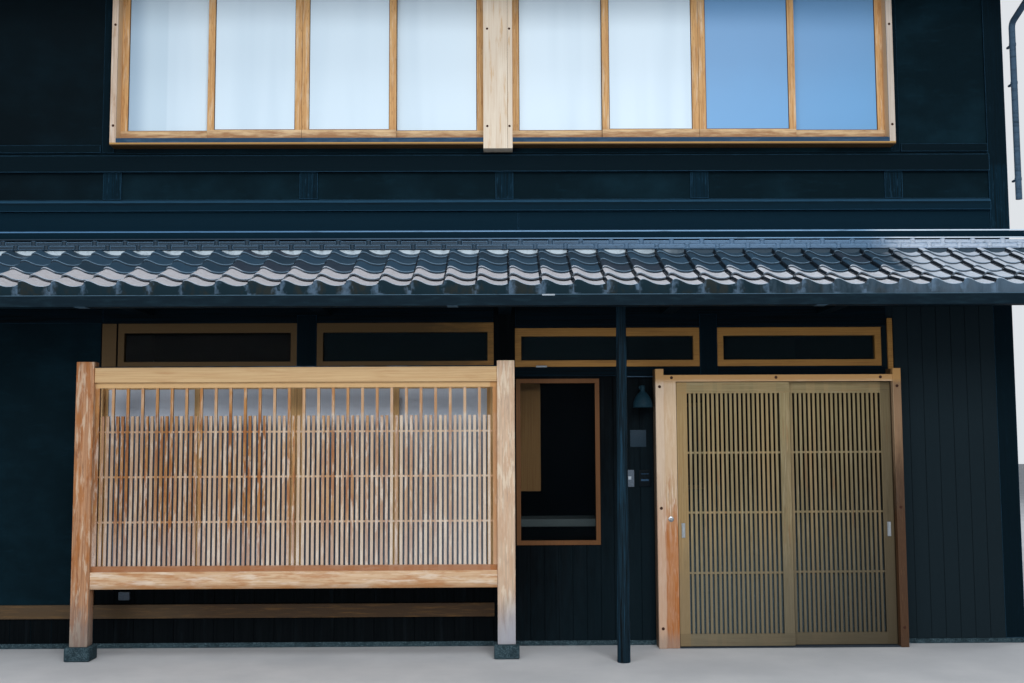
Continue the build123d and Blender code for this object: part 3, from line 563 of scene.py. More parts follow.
def make_wood_finishes(colours):
    honey_dark, bleached, rust = colours.honey_dark, colours.bleached, colours.rust
    # Top rail of the screen: cypress under the eave, still honey-coloured
    wood(
        "Honey cypress rail", colours.honey, honey_dark, "X", contrast=0.4,
        patches=((honey_dark, 0.55, 0.75, 60, 500, 0.4),),
    )
    # Upper window: oiled cypress sashes, their bottom rails blotched by rain that stands on the sill
    wood(
        "Window cypress", "#cba06b", honey_dark, "Z", turn=((4.188, 4.2555), (5.5325, 5.6)), contrast=0.7,
        patches=(
            ("#9a6a3c", 0.50, 0.70, 16, 150, 0.6), (bleached, 0.50, 0.70, 24, 300, 0.55),
            ("#6d4523", 0.60, 0.72, 12, 90, 0.6),
        ),
        zones=(("#e0c79f", "Z", 4.262, 4.245, 0.7, 0.02), ("#84522a", "Z", 4.28, 4.18, 0.8, 0.20)),
    )
    # Its frame: the same cypress out in the rain, greyed towards the right, honey on the inner faces, with
    # a band of painted shade under its foot
    wood(
        "Greyed window jamb", "#c5b3a1", "#9a806b", "Z", turn=((4.108, 4.128), (5.6, 5.68)), contrast=0.7,
        patches=(("#9f7f63", 0.54, 0.72, 30, 200, 0.7), ("#d6cec6", 0.5, 0.66, 20, 300, 0.5)),
        zones=(
            ("#b7b0a8", "X", 1.0, 3.4, 0.6), ("#deb483", "Y", -3.395, -3.385, 0.8, 0.0),
            ("#ab8448", "Z", 4.131, 4.127, 1.0), ("#3f2b18", "Z", 4.119, 4.115, 0.9),
        ),
    )
    # Its centre post: planed cypress that the sun has bleached, with yellow streaks
    wood(
        "Pale centre post", "#d2c6b5", "#bda487", "Z", contrast=0.5,
        patches=(("#bb9462", 0.56, 0.68, 26, 300, 0.6), ("#ddd5c6", 0.5, 0.7, 40, 500, 0.5)),
    )
    # Screen posts and lower rail: bare cypress out in the rain, stained, washed and grey at the foot
    wood(
        "Weathered cypress post", colours.pink, "#7f5c42", "Z", contrast=0.75,
        patches=(
            (rust, 0.46, 0.60, 46, 260, 0.75), (bleached, 0.52, 0.62, 34, 240, 0.75),
            ("#7a4526", 0.56, 0.66, 18, 130, 0.65), ("#412d20", 0.62, 0.70, 7, 260, 0.75),
        ),
        zones=(
            ("#dccdb8", "X", -1.5, -0.6, 0.45), ("#8f552b", "X", -2.0, -2.7, 0.32),
            ("#77726f", "Z", 0.58, 0.14, 0.75, 0.6), ("#a9aebb", (1, 0, -1), -0.15, 0.25, 0.7, 0.4),
        ),
    )
    wood(
        "Weathered cypress rail", "#d0b393", honey_dark, "X", contrast=0.6,
        patches=(
            (rust, 0.47, 0.64, 44, 260, 0.6), ("#e2d6c6", 0.48, 0.66, 36, 240, 0.6),
            ("#7d5230", 0.60, 0.74, 10, 160, 0.5),
        ),
        zones=(("#8f6238", "Z", 0.585, 0.540, 0.6, 0.05),),
    )
    # Lattice: thin cypress bars, each with its own rust and bleached spots, browner at the left and washed
    # whitish below, in a frame whose head is honey-coloured and whose foot is rusty
    wood(
        "Lattice cypress", "#b3834f", "#85592f", "Z", turn=((0.6, 0.707), (2.08, 2.2)), contrast=0.8,
        patches=(
            ("#8f4f1f", 0.44, 0.59, 40, 240, 0.7), ("#e2d8cb", 0.49, 0.64, 30, 170, 0.6),
            ("#553523", 0.56, 0.68, 10, 30, 0.6),
        ),
        # sides: painted shade on the faces of the bars that look into the gaps
        bars=(-2.770, 0.03813, "#d9cab4", 0.5), sides=("#3d2919", 0.7),
        zones=(
            ("#6f4423", "X", -1.4, -2.9, 0.35), ("#d3c9bc", "X", -1.6, 0.3, 0.40),
            ("#d2cdca", "Z", 1.15, 0.80, 0.3, 0.5), ("#b8854f", "Z", 1.86, 1.90, 0.5, 0.0),
            ("#c9a676", "Z", 2.078, 2.082, 0.9, 0.0), ("#b0793e", "X", 0.262, 0.270, 0.65, 0.0),
            ("#92561f", "Z", 0.712, 0.704, 0.8, 0.01),
        ),
    )
    # Doors: cedar gone khaki in the shade, yellower at the left stile, duller towards the lower right
    wood(
        "Khaki cedar", colours.khaki, colours.khaki_dark, turn=((0.0, 0.109), (2.035, 2.2)), contrast=0.7,
        patches=(
            ("#a2967b", 0.50, 0.66, 20, 240, 0.5), ("#8a5a36", 0.57, 0.70, 22, 320, 0.5),
            ("#4c4431", 0.58, 0.72, 14, 160, 0.55),
        ),
        # sides: painted shade on the faces of the bars that look into the gaps
        bars=(1.8546, 0.036857, "#a38a64", 0.45), sides=("#2a2418", 0.75),
        zones=(
            ("#93835a", "Z", 1.3, 2.0, 0.4), ("#74756d", "Z", 1.05, 0.3, 0.5, 0.6),
            ("#a8834f", "X", 1.864, 1.860, 0.4, 0.0), ("#6d6045", "Z", 0.95, 0.55, 0.35, 0.5),
            ("#342d20", (1, 0, -0.6), 1.3, 3.7, 0.85, 0.5), ("#3d3322", "X", 3.456, 3.460, 0.5, 0.0),
            ("#3f3726", "Z", 0.115, 0.109, 0.25, 0.0),
        ),
    )
    # Door frame: cypress, pinkish pale above, drawn to orange in the lower half, greyed at the foot
    wood(
        "Door frame cypress", "#ccb497", "#a5825e", "Z", turn=((2.13, 2.184),), contrast=0.7,
        patches=(
            ("#a0602a", 0.46, 0.62, 30, 280, 0.75), ("#e0d3c3", 0.50, 0.62, 20, 170, 0.75),
            ("#6d3d1c", 0.60, 0.70, 9, 130, 0.65),
        ),
        zones=(
            ("#cdb496", "Z", 1.15, 1.45, 0.80, 0.6), ("#ab6429", "Z", 1.25, 0.90, 0.72, 0.9),
            ("#85491d", "Z", 0.9, -0.9, 0.6, 2.4), ("#d3c0ad", "X", 1.682, 1.664, 0.5, 0.05),
            ("#8a8078", "Z", 0.16, 0.03, 0.5), ("#6f5135", "X", 3.535, 3.550, 0.85, 0.0),
            ("#301c0e", (1, 0, -0.5), 2.66, 2.95, 0.85, 0.3),
            # Painted shade: the faces near the wall, at the backs and sides of the posts, are darkened
            ("#b0854e", "Z", 2.10, 2.16, 0.9), ("#3b2d1e", "Y", -3.400, -3.385, 0.85),
        ),
    )
    # Transom lights: the same cypress deep under the eave, a darker wood that is also darkened as painted
    # shade, most at the left
    wood(
        "Transom cypress", "#a67a3f", "#7f5a2c", "X", contrast=0.5,
        zones=(("#4e3c1f", "X", 0.9, -0.4, 0.95),), patches=(("#4a3820", 0.52, 0.75, 40, 400, 0.35),),
    )
    # Street and garden windows: planed cypress, written paler than the wood as painted light, so that it
    # shows lit behind the screen
    wood("Street window cypress", "#eec48a", "#b98a54", "Z", contrast=0.6)
    # Reception frame: oiled red pine. Base rail and casing: cedar board, darkened by splashes
    wood("Red-brown frame", colours.brown, "#4c2f14", "Z", contrast=0.5)
    wood(
        "Base rail wood", colours.rail, "#33241a", "X", contrast=0.6,
        patches=(("#6e4f28", 0.5, 0.7, 20, 240, 0.6), ("#1e150d", 0.62, 0.74, 8, 200, 0.5)),
        zones=(("#554631", "X", -1.9, -2.4, 0.4),),
    )
    # Threshold: oak worn blue-grey by feet and rain
    wood("Threshold wood", "#2c3641", "#1b232b", "X", contrast=0.6)
    # Inside: planed floor boards, and the honey board that hangs over a counter of grey laminate
    wood("Floor boards", "#4a3a28", "#382a1c", "X", contrast=0.6)
    wood(
        "Counter board", "#d8ab70", "#b5854f", "Z", contrast=0.6,
        zones=(("#5a6f76", "Z", 1.19, 1.17, 1.0, 0.0), ("#83979b", "Z", 1.02, 1.00, 1.0, 0.0)),
    )


def tile_marks(tree, place, sizes, first):
    """What a tile's finish goes by, alike on both slopes, whose eave lies first metres from the ridge line.

    These are the place across the slope, the distance from the ridge line, the distance past the first
    roll, that distance at the tile's own left edge, a number for each tile, and how far a face looks up
    and sideways.
    """
    x, y, _ = add_node(tree, "SeparateXYZ", {0: place}).node.outputs
    facing = add_node(tree, "Math", {"operation": "SIGN", 0: y})
    mirror = add_node(tree, "Math", {"operation": "MULTIPLY", 0: facing, 1: -1.0})
    across = add_node(tree, "Math", {"operation": "MULTIPLY", 0: x, 1: mirror})
    reach = add_node(tree, "Math", {"operation": "ABSOLUTE", 0: y})
    started = add_node(tree, "Math", {"operation": "SUBTRACT", 0: across, 1: sizes.first_roll})
    column = add_node(tree, "Math", {"operation": "SNAP", 0: started, 1: sizes.pitch})
    climbed = add_node(tree, "Math", {"operation": "SUBTRACT", 0: first, 1: reach})
    line = add_node(tree, "Math", {"operation": "SNAP", 0: climbed, 1: course_step(sizes).y})
    pair = add_node(tree, "CombineXYZ", {0: column, 1: line})
    each = add_node(tree, "TexWhiteNoise", {"noise_dimensions": "2D", "Vector": pair})
    normal = add_node(tree, "NewGeometry", {}, "True Normal")
    sideways, _, upward = add_node(tree, "SeparateXYZ", {0: normal}).node.outputs
    side = add_node(tree, "Math", {"operation": "MULTIPLY", 0: sideways, 1: facing})
    return across, reach, started, column, each, upward, side


def make_roof_finishes(sizes, colours):
    # Roof tile: smoked clay, a thin carbon skin with a silvery half gloss. On the lower roof the courses
    # under the window above are painted dark as shade, and the two courses at the eave, which lie beyond the
    # window above, and the right-hand end are painted pale as sunlight.
    for name, eave in (("Smoked clay tile", roof_low), ("Smoked clay main tile", main_low)):
        tree, place = start_material(name, 0.5, 0.2)
        across, reach, started, column, each, upward, side = tile_marks(tree, place, sizes, -eave.y)
        speck = mottle(tree, place, 45, 6.0)
        if eave == main_low:
            tone = lay(tree, colours.main, colours.main_light, each, 0.0, 1.0, 0.3)
            tone = lay(tree, tone, colours.main_light, speck, 0.45, 0.75, 0.4)
            edge = colours.main_light
        else:
            # Painted shade on the courses under the window above, painted sunlight on the eave courses and
            # the right-hand end
            shade = lay(tree, colours.shaded, colours.shaded_dark, each, 0.2, 0.9)
            shade = lay(tree, shade, "#463f48", each, 0.92, 0.98, 0.25)
            washed = lay(tree, colours.sunlit, "#dbe3ee", across, 0.0, 3.0, 0.7)
            washed = lay(tree, washed, "#b5b2b4", speck, 0.42, 0.72, 0.6)
            border = -eave.y - 2 * course_step(sizes).y
            tone = lay(tree, shade, washed, reach, border, border + 0.001)
            right_end = ragged(tree, across, place, 90, 0.2)
            tone = lay(tree, tone, colours.sunlit_end, right_end, 3.45, 3.7, 0.9)
            edge = colours.edge
        # Painted highlight, partly wear, on the chamfer at each butt's upper edge; painted shade on the
        # butts, on the rolls' left drops and in the slot under each roll
        tone = lay(tree, tone, edge, upward, 0.72, 0.60, 0.6)
        tone = lay(tree, tone, colours.joint, upward, 0.25, 0.15, 0.8)
        tone = lay(tree, tone, colours.joint, side, 0.55, 0.75)
        over = add_node(tree, "Math", {"operation": "SUBTRACT", 0: started, 1: column})
        tone = lay(tree, tone, colours.joint, over, sizes.pitch - 0.012, sizes.pitch - 0.009)
        paint(tree, tone, speck, 0.0012, 0.35)
    # Eave lip: the same clay, damp and dark, with lime smudges that run down from each joint
    tree, place = start_material("Damp eave clay", 0.7, 0.03)
    across, _, started, _, each, _, _ = tile_marks(tree, place, sizes, -roof_low.y)
    near = add_node(tree, "Math", {"operation": "PINGPONG", 0: started, 1: sizes.pitch / 2})
    patches = mottle(tree, place, (28, 28, 40), 6.0)
    spread = add_node(tree, "Math", {"operation": "MULTIPLY_ADD", 0: near, 1: -7.0, 2: patches})
    spread = add_node(tree, "Math", {"operation": "MULTIPLY_ADD", 0: each, 1: 0.35, 2: spread})
    tone = lay(tree, colours.lip, "#2f302a", mottle(tree, place, (90, 90, 200)), 0.48, 0.66, 0.6)
    tone = lay(tree, tone, "#5d7286", ragged(tree, across, place, (60, 60, 200), 2.5), 1.8, 4.6, 0.7)
    tone = lay(tree, tone, colours.smudge, spread, 0.42, 0.85, 0.6)
    paint(tree, tone, patches, 0.0015, 0.5)
    # Flat ridge tiles: the same clay, dark at the left and washed paler towards the right, with painted
    # sunlight at the right-hand end and a blue-grey tint along the edges, partly wear, partly painted
    # highlight
    tree, place = start_material("Smoked clay ridge tile", 0.5, 0.2)
    x = add_node(tree, "SeparateXYZ", {0: place}, "X")
    rightward = ragged(tree, x, place, (400, 90, 30), 1.4)
    tone = lay(tree, colours.ridge, colours.ridge_light, rightward, -0.4, 2.2, 0.75)
    tone = lay(tree, tone, colours.sunlit_end, ragged(tree, x, place, (120, 90, 30), 0.3), 3.35, 3.75, 0.6)
    tone = lay(tree, tone, colours.ridge, mottle(tree, place, (40, 40, 16), 5.0), 0.5, 0.72, 0.6)
    tone = lay(tree, tone, colours.flashing, worn_edges(tree, 0.005), 0.15, 0.50, 0.55)
    paint(tree, tone, mottle(tree, place, 20), 0.001, 0.3)
    # Lime mortar that closes the pans under the ridge tiles, darker at the right as painted shade
    tree, place = start_material("Lime mortar", 0.85, 0.1)
    x = add_node(tree, "SeparateXYZ", {0: place}, "X")
    grit = mottle(tree, place, 30, 6.0)
    tone = lay(tree, colours.mortar, colours.ridge, grit, 0.5, 0.8, 0.5)
    tone = lay(tree, tone, colours.shaded_dark, ragged(tree, x, place, 300, 0.8), 1.2, 2.0, 0.95)
    paint(tree, tone, grit, 0.002, 0.5)
    # Flashing: folded sheet steel, its edge chalky blue and partly a painted sky reflection, duller at the
    # left, with painted sunlight at its right-hand end and its lower sheet darker
    tree, place = start_material("Folded sheet edge", 0.5, 0.25)
    x, _, z = add_node(tree, "SeparateXYZ", {0: place}).node.outputs
    tone = lay(tree, "#48739a", colours.flashing, x, -2.5, 2.0)
    tone = lay(tree, tone, "#c9d8e8", ragged(tree, x, place, (150, 60, 60), 0.4), 3.3, 3.7, 0.9)
    tone = lay(tree, tone, colours.gutter, mottle(tree, place, (220, 60, 25), 5.0), 0.52, 0.75, 0.6)
    lower = lay(tree, colours.ridge, tone, ragged(tree, x, place, (300, 60, 60), 1.5), -2.5, 3.2, 0.9)
    tone = lay(tree, tone, lower, z, 3.36, 3.355)
    paint(tree, tone, mottle(tree, place, (700, 300, 300)), 0.003, 0.3)
    # Gutter, pipe, caps and sills: brushed-on paint over galvanised steel, dulled by dust and runs
    for name, base, other in (
        ("Painted gutter", colours.gutter, "#192c36"),
        ("Gutter edge", "#435b6c", colours.gutter),
        ("Painted pipe", colours.pipe, colours.gutter),
        ("Dark sheet cap", colours.gutter, colours.pipe),
        ("Blue sheet sill", "#2a435b", "#425c75"),
    ):
        tree, place = start_material(name, 0.55, 0.03)
        dust = mottle(tree, place, (160, 120, 30), 6.0)
        paint(tree, lay(tree, base, other, dust, 0.45, 0.75, 0.7), dust, 0.001, 0.3)


def make_pane_finishes(colours):
    # Upper panes: clear glass with a white film behind it, whose folds show as faint upright bands.
    # The bluer band at the first pane's left and the blue of the last two panes are painted sky reflections.
    tree, place = start_material("Papered glass", 0.3, 0.15)
    x, _, z = add_node(tree, "SeparateXYZ", {0: place}).node.outputs
    folds = mottle(tree, place, (260, 260, 4000), 2.0)
    tone = lay(tree, colours.paper, colours.paper_shade, folds, 0.40, 0.75, 0.4)
    tone = lay(tree, tone, "#bdd3e3", x, -2.44, -2.46, 0.8)
    tone = lay(tree, tone, "#93adc4", x, -2.58, -2.74, 0.8)
    sky = lay(tree, colours.sky, "#6ba0d0", ragged(tree, z, place, 600, 0.6), 5.2, 4.3)
    tone = lay(tree, tone, sky, x, 2.029, 2.030)
    paint(tree, tone, folds, 0.002, 0.1)
    # Frosted glass: acid-etched, with upright streaks of rain on its face; its dark grey is painted shade
    # behind the screen's bars, its paler head is painted light, and its right end is paler
    tree, place = start_material("Frosted glass", 0.6, 0.15)
    x, _, z = add_node(tree, "SeparateXYZ", {0: place}).node.outputs
    streaks = mottle(tree, place, (30, 30, 900))
    tone = lay(tree, colours.frosted, colours.frosted_light, streaks, 0.40, 0.68, 0.7)
    tone = lay(tree, tone, "#e2eeff", z, 1.76, 1.88, 0.95)
    tone = lay(tree, tone, "#d9e6f5", ragged(tree, x, place, 400, 1.0), -1.2, 0.2, 0.3)
    paint(tree, tone, streaks, 0.001, 0.1)
    # Clear glass before a dark room: thin, so it is near black by the room and clear by its alpha, dustier in
    # the transom lights and low in the door leaves
    for name, alpha in (("Dark clear glass", 0.9), ("Clear glass", 0.35)):
        tree, place = start_material(name, 0.06, 0.02, Alpha=alpha)
        dust = mottle(tree, place, 90)
        x, _, z = add_node(tree, "SeparateXYZ", {0: place}).node.outputs
        tone = lay(tree, colours.dark, "#101b22", dust, 0.5, 0.8, 0.4)
        transom = lay(tree, tone, "#1e2c32", x, -1.3, -1.1)
        transom = lay(tree, transom, "#1a272d", x, 1.2, 1.6)
        door = lay(tree, tone, "#60757f", z, 1.5, 0.4)
        door = lay(tree, tone, door, x, 4.6, 2.2)
        tone = lay(tree, tone, door, x, 1.70, 1.71)
        tone = lay(tree, tone, transom, z, 2.20, 2.21)
        paint(tree, tone, dust, 0.0003, 0.05)


def make_fitting_finishes():
    # Granite: flamed, grey-green with dark and light grains, 260 to the metre, which is one every 4 mm
    tree, place = start_material("Flamed granite", 0.8, 0.1)
    grains = add_node(tree, "TexVoronoi", {"Scale": 260.0, "Vector": place}, "Color")
    grit = add_node(tree, "SeparateXYZ", {0: grains}, "X")
    tone = lay(tree, "#22353d", "#5c717a", grit, 0.55, 0.95, 0.8)
    tone = lay(tree, tone, "#152329", mottle(tree, place, 70), 0.45, 0.7, 0.7)
    paint(tree, tone, grit, 0.0012, 0.6)
    # Lamp: sheet steel, spun and enamelled dark blue-green, half glossy
    tree, place = start_material("Enamelled steel", 0.55, 0.06)
    spots = mottle(tree, place, 25)
    paint(tree, lay(tree, "#122934", "#1f3946", spots, 0.45, 0.8, 0.6), spots, 0.0004, 0.2)
    # Lock and pulls: stainless steel, finely brushed, with upright scratches drawn 1.5 mm wide to show
    tree, place = start_material("Brushed steel", 0.35, Metallic=1.0)
    brush = mottle(tree, place, (1.5, 1.5, 40))
    paint(tree, lay(tree, "#7d848b", "#b9bec2", brush, 0.3, 0.7), brush, 0.0002, 0.3)
    # Small parts: moulded plastic and sprayed enamel, end-grain plugs of dark wood, and putty, each with a
    # grain that is drawn 6 mm wide so that it shows
    for name, dark, pale, gloss in (
        ("Grey plastic", "#47525e", "#5c6875", 0.1), ("Plate enamel", "#1d2a34", "#2b3a46", 0.05),
        ("Dark plastic", "#070c10", "#111a21", 0.03), ("Pale plastic", "#8b98a5", "#a9b4be", 0.2),
        ("Dark plug", "#33201a", "#472f26", 0.05), ("Window putty", "#4a3524", "#5f4630", 0.05),
    ):
        tree, place = start_material(name, 0.5, gloss)
        fine = mottle(tree, place, 6)
        paint(tree, lay(tree, dark, pale, fine, 0.3, 0.7), fine, 0.0003, 0.4)


# Roof tiles

# Section of one wavy tile across the slope, in metres: X from its left edge, and height over its pan
TILE_WAVE = (
    (0.000, 0.016), (0.001, 0.026), (0.008, 0.036), (0.022, 0.043), (0.040, 0.042), (0.060, 0.035),
    (0.082, 0.024), (0.106, 0.013), (0.132, 0.005), (0.160, 0.001), (0.188, 0.001), (0.212, 0.005),
    (0.232, 0.011), (0.244, 0.012),
)


def tile_sheet(name, sizes):
    """One wavy tile as a sheet, its butt at the origin, running up +Y."""
    long = sizes.course + sizes.lap
    deselect()
    bpy.ops.mesh.primitive_plane_add(size=1, location=(0, long / 2, 0))
    piece = bpy.context.object
    piece.name = name
    piece.scale = (1, long, 1)
    settle(piece)
    (xa, za), (xb, zb) = TILE_WAVE[0], TILE_WAVE[1]
    edit(piece)
    select_where(piece, "edges", lambda middle: middle.x < -0.4)
    bpy.ops.transform.translate(value=(xa + 0.5, 0, za))
    select_where(piece, "edges", lambda middle: middle.x > 0.4)
    bpy.ops.transform.translate(value=(xb - 0.5, 0, zb))
    for x, z in TILE_WAVE[2:]:
        bpy.ops.mesh.extrude_edges_move(TRANSFORM_OT_translate={"value": (x - xb, 0, z - zb)})
        xb, zb = x, z
    leave()
    return piece


def wear_butt(piece):
    """Chamfers the upper front edge of a tile, before it is tilted."""
    pairs = zip(TILE_WAVE, TILE_WAVE[1:])
    middles = [Vector(((a[0] + b[0]) / 2, 0, (a[1] + b[1]) / 2)) for a, b in pairs]
    edit(piece)
    select_where(piece, "edges", lambda middle: any((middle - each).length < 1e-4 for each in middles))
    bpy.ops.mesh.bevel(offset=0.004, segments=1, affect="EDGES")
    leave()


def course_step(sizes):
    """Step from one course to the next, up the street slope."""
    along = sizes.course * math.cos(SLOPE_ANGLE)
    return Vector((0, along, along * ROOF_SLOPE))


def tile_courses(name, sizes, low, first, courses, raised=0.0, lip=0.0):
    """Courses of wavy tiles from course number first, over the roof whose eave corner is low.

    A raised course lies flatter, so that it still passes under the next one. With a lip, a deep front with
    a straight lower edge hangs from the butt.
    """
    piece = tile_sheet(name, sizes)
    drop = sizes.thick + TILE_PLAY + raised
    tilt = SLOPE_ANGLE - math.atan(drop / sizes.course)
    if lip:
        edit(piece)
        select_where(piece, "edges", lambda middle: middle.y < 0.01)
        bpy.ops.mesh.extrude_edges_move(TRANSFORM_OT_translate={"value": (0, 0, -lip)})
        bpy.ops.transform.resize(value=(1, 1, 0), center_override=(0, 0, -lip))
        bpy.ops.transform.translate(value=(0, -lip * math.tan(tilt), 0))
        leave()
    thicken(piece, sizes.thick)
    wear_butt(piece)
    piece.rotation_euler.x = tilt
    start = Vector((sizes.first_roll, low.y + 0.001, low.z + sizes.bed + raised))
    piece.location = start + first * course_step(sizes)
    settle(piece)
    row(piece, TILE_COLUMNS, (sizes.pitch, 0, 0))
    return row(piece, courses, course_step(sizes))


def verge(name, sizes, low, courses):
    """Tiles that close the ends of a slope: a flat roll with a flap down the outside."""
    long = sizes.course + sizes.lap
    radius = 0.034
    rings = ((0, radius - 0.004), (0.004, radius), (long - 0.004, radius), (long, radius - 0.004))
    pieces = []
    for side, inner in ((-1, sizes.first_roll + 0.03), (1, 4.655)):
        edge = ROOF_END * side
        low_x, high_x = sorted((edge, edge - 0.016 * side))
        flap = box("flap", (low_x, 0, -0.045), (high_x, long, 0.03), 0.004)
        roll = turned("roll", (0, 0, 0), (0, 1, 0), rings, 16)
        roll.scale = (abs(edge - inner) / (2 * radius), 1, 0.75)
        roll.location = ((edge + inner) / 2, 0, 0.02)
        settle(roll)
        pieces += [flap, roll]
    piece = join(name, pieces)
    piece.rotation_euler.x = SLOPE_ANGLE - math.atan((sizes.thick + TILE_PLAY) / sizes.course)
    piece.location = (0, low.y + 0.001, low.z + sizes.bed)
    settle(piece)
    return row(piece, courses, course_step(sizes))


class TOWNHOUSE_OT_lower_roof(bpy.types.Operator):
    """Lay the wavy tiles of both lower roofs, whose first two courses are raised at the eave"""

    bl_idname = "townhouse.lower_roof"
    bl_label = "Add lower roof tiles"

    def execute(self, context):
        sizes = context.scene.townhouse_roof
        rest = tile_courses("rest", sizes, roof_low, 2, 3)
        second = tile_courses("second", sizes, roof_low, 1, 1, 0.43 * sizes.lift)
        tiles = join("lower_tiles_street", [rest, second])
        finish_both(tiles, "Smoked clay tile", ("lower_roof_tiles",))
        lips = tile_courses("eave_lips_street", sizes, roof_low, 0, 1, sizes.lift, sizes.lip + sizes.lift)
        # The lip's face has its own damp finish, so it is parted from the tile's top
        edit(lips)
        front = roof_low.y + 0.006
        select_where(lips, "faces", lambda middle, normal: normal.y < -0.98 and middle.y < front)
        bpy.ops.mesh.separate(type="SELECTED")
        leave()
        faces = [o for o in context.selected_objects if o != lips][0]
        faces.name = "eave_faces_street"
        finish_both(lips, "Smoked clay tile")
        finish_both(faces, "Damp eave clay")
        finish_both(verge("lower_verge_street", sizes, roof_low, 5), "Smoked clay tile")
        return {"FINISHED"}


class TOWNHOUSE_OT_main_roof(bpy.types.Operator):
    """Lay the wavy tiles of the main roof and its stacked ridge"""

    bl_idname = "townhouse.main_roof"
    bl_label = "Add main roof"

    def execute(self, context):
        sizes = context.scene.townhouse_roof
        courses = int((-main_low.y - 0.1) / course_step(sizes).y)
        tiles = tile_courses("main_tiles_street", sizes, main_low, 1, courses - 1)
        finish_both(tiles, "Smoked clay main tile", ("main_roof_tiles",))
        lips = tile_courses("main_lips_street", sizes, main_low, 0, 1, 0, sizes.lip)
        finish_both(lips, "Smoked clay main tile")
        ends = verge("main_verge_street", sizes, main_low, courses)
        finish_both(ends, "Smoked clay main tile")
        finish(ridge(sizes), "Smoked clay main tile", replaces=("main_ridge",))
        return {"FINISHED"}


def ridge(sizes):
    """Three courses of flat ridge tiles under a row of round caps, with plain end tiles."""
    low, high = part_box("main_ridge")
    inside = 0.03
    core_low = (low.x + inside, low.y + inside, low.z)
    pieces = [box("core", core_low, (high.x - inside, high.y - inside, high.z - 2 * inside), 0.004)]
    count = int((high.x - low.x - 2 * inside) / sizes.ridge_tile)
    for number, (inset, rise) in enumerate(((0.0, 0.09), (0.014, 0.135), (0.028, 0.18))):
        z = low.z + rise
        for side in (-1, 1):
            start = low.x + 0.035 + 0.5 * sizes.ridge_tile * (number % 2)
            end = start + sizes.ridge_tile - TILE_PLAY
            y0, y1 = sorted((side * (high.y - inset), side * 0.02))
            tile = box("flat", (start, y0, z), (end, y1, z + 0.036), 0.004, 1)
            pieces.append(row(tile, count - number % 2, (sizes.ridge_tile, 0, 0)))
    rings = ((0, 0.078), (0.006, 0.086), (0.25, 0.086), (0.262, 0.078), (0.31, 0.078))
    cap = turned("cap", (low.x + 0.02, 0, 0), (1, 0, 0), rings, 20)
    cap.scale = (1, 1, 0.75)
    cap.location.z = high.z - 0.066
    settle(cap)
    pieces.append(row(cap, int((high.x - low.x - 0.04) / 0.3), (0.3, 0, 0)))
    for side in (-1, 1):
        face = side * (high.x - 0.002)
        a, b = sorted((face, face - side * 0.05))
        end = box("end", (a, low.y + 0.01, low.z + 0.02), (b, high.y - 0.01, high.z - 0.012), 0.012, 3)
        pieces.append(inset_face(end, (side, 0, 0), 0.03, -0.006))
    return join("main_ridge_tiles", pieces)


class TOWNHOUSE_OT_wall_ridge(bpy.types.Operator):
    """Lay the two courses of flat ridge tiles against the wall, their joint rolls, bed and flashing"""

    bl_idname = "townhouse.wall_ridge"
    bl_label = "Add wall ridge"

    def execute(self, context):
        pitch = context.scene.townhouse_roof.ridge_tile
        tiles = []
        courses = ((0.205, 3.217, 3.255, -4.582, 37), (0.165, 3.259, 3.294, -4.703, 38))
        for reach, bottom, top, start, count in courses:
            tile = on_wall("flat", (start, start + pitch - TILE_PLAY), (bottom, top), reach, 0.003, 1)
            tiles.append(row(inset_face(tile, (0, -1, 0), 0.005, 0.004), count, (pitch, 0, 0)))
            for low_x, high_x in ((-ROOF_END, start - TILE_PLAY), (start + count * pitch, ROOF_END)):
                if high_x > low_x:
                    tiles.append(on_wall("end", (low_x, high_x), (bottom, top), reach, 0.003, 1))
            tall = top - bottom
            rings = ((0, 0.019), (0.003, 0.0225), (tall + 0.004, 0.0225), (tall + 0.010, 0.017))
            roll = turned("roll", (start - 0.001, out(reach - 0.004), bottom - 0.003), (0, 0, 1), rings, 12)
            tiles.append(row(roll, 38, (pitch, 0, 0)))
        tiles = join("wall_ridge_tiles_street", tiles)
        finish_both(tiles, "Smoked clay ridge tile", ("wall_ridge_tiles",))
        bed = on_wall("ridge_bed_street", (-4.72, 4.72), (3.10, 3.214), 0.195, 0.006)
        finish_both(bed, "Lime mortar")
        folds = (
            ((out(0.0), 3.404), (out(0.034), 3.4015), (out(0.036), 3.391)),
            ((out(0.0), 3.345), (out(0.148), 3.319), (out(0.150), 3.309)),
        )
        sheets = [folded("sheet", -ROOF_END, ROOF_END, points, 0.0015) for points in folds]
        finish_both(join("flashing_street", sheets), "Folded sheet edge")
        board = on_wall("flashing_board_street", (-ROOF_END, ROOF_END), (3.336, 3.391), 0.030, 0.002)
        finish_both(board, "Stained beam")
        return {"FINISHED"}


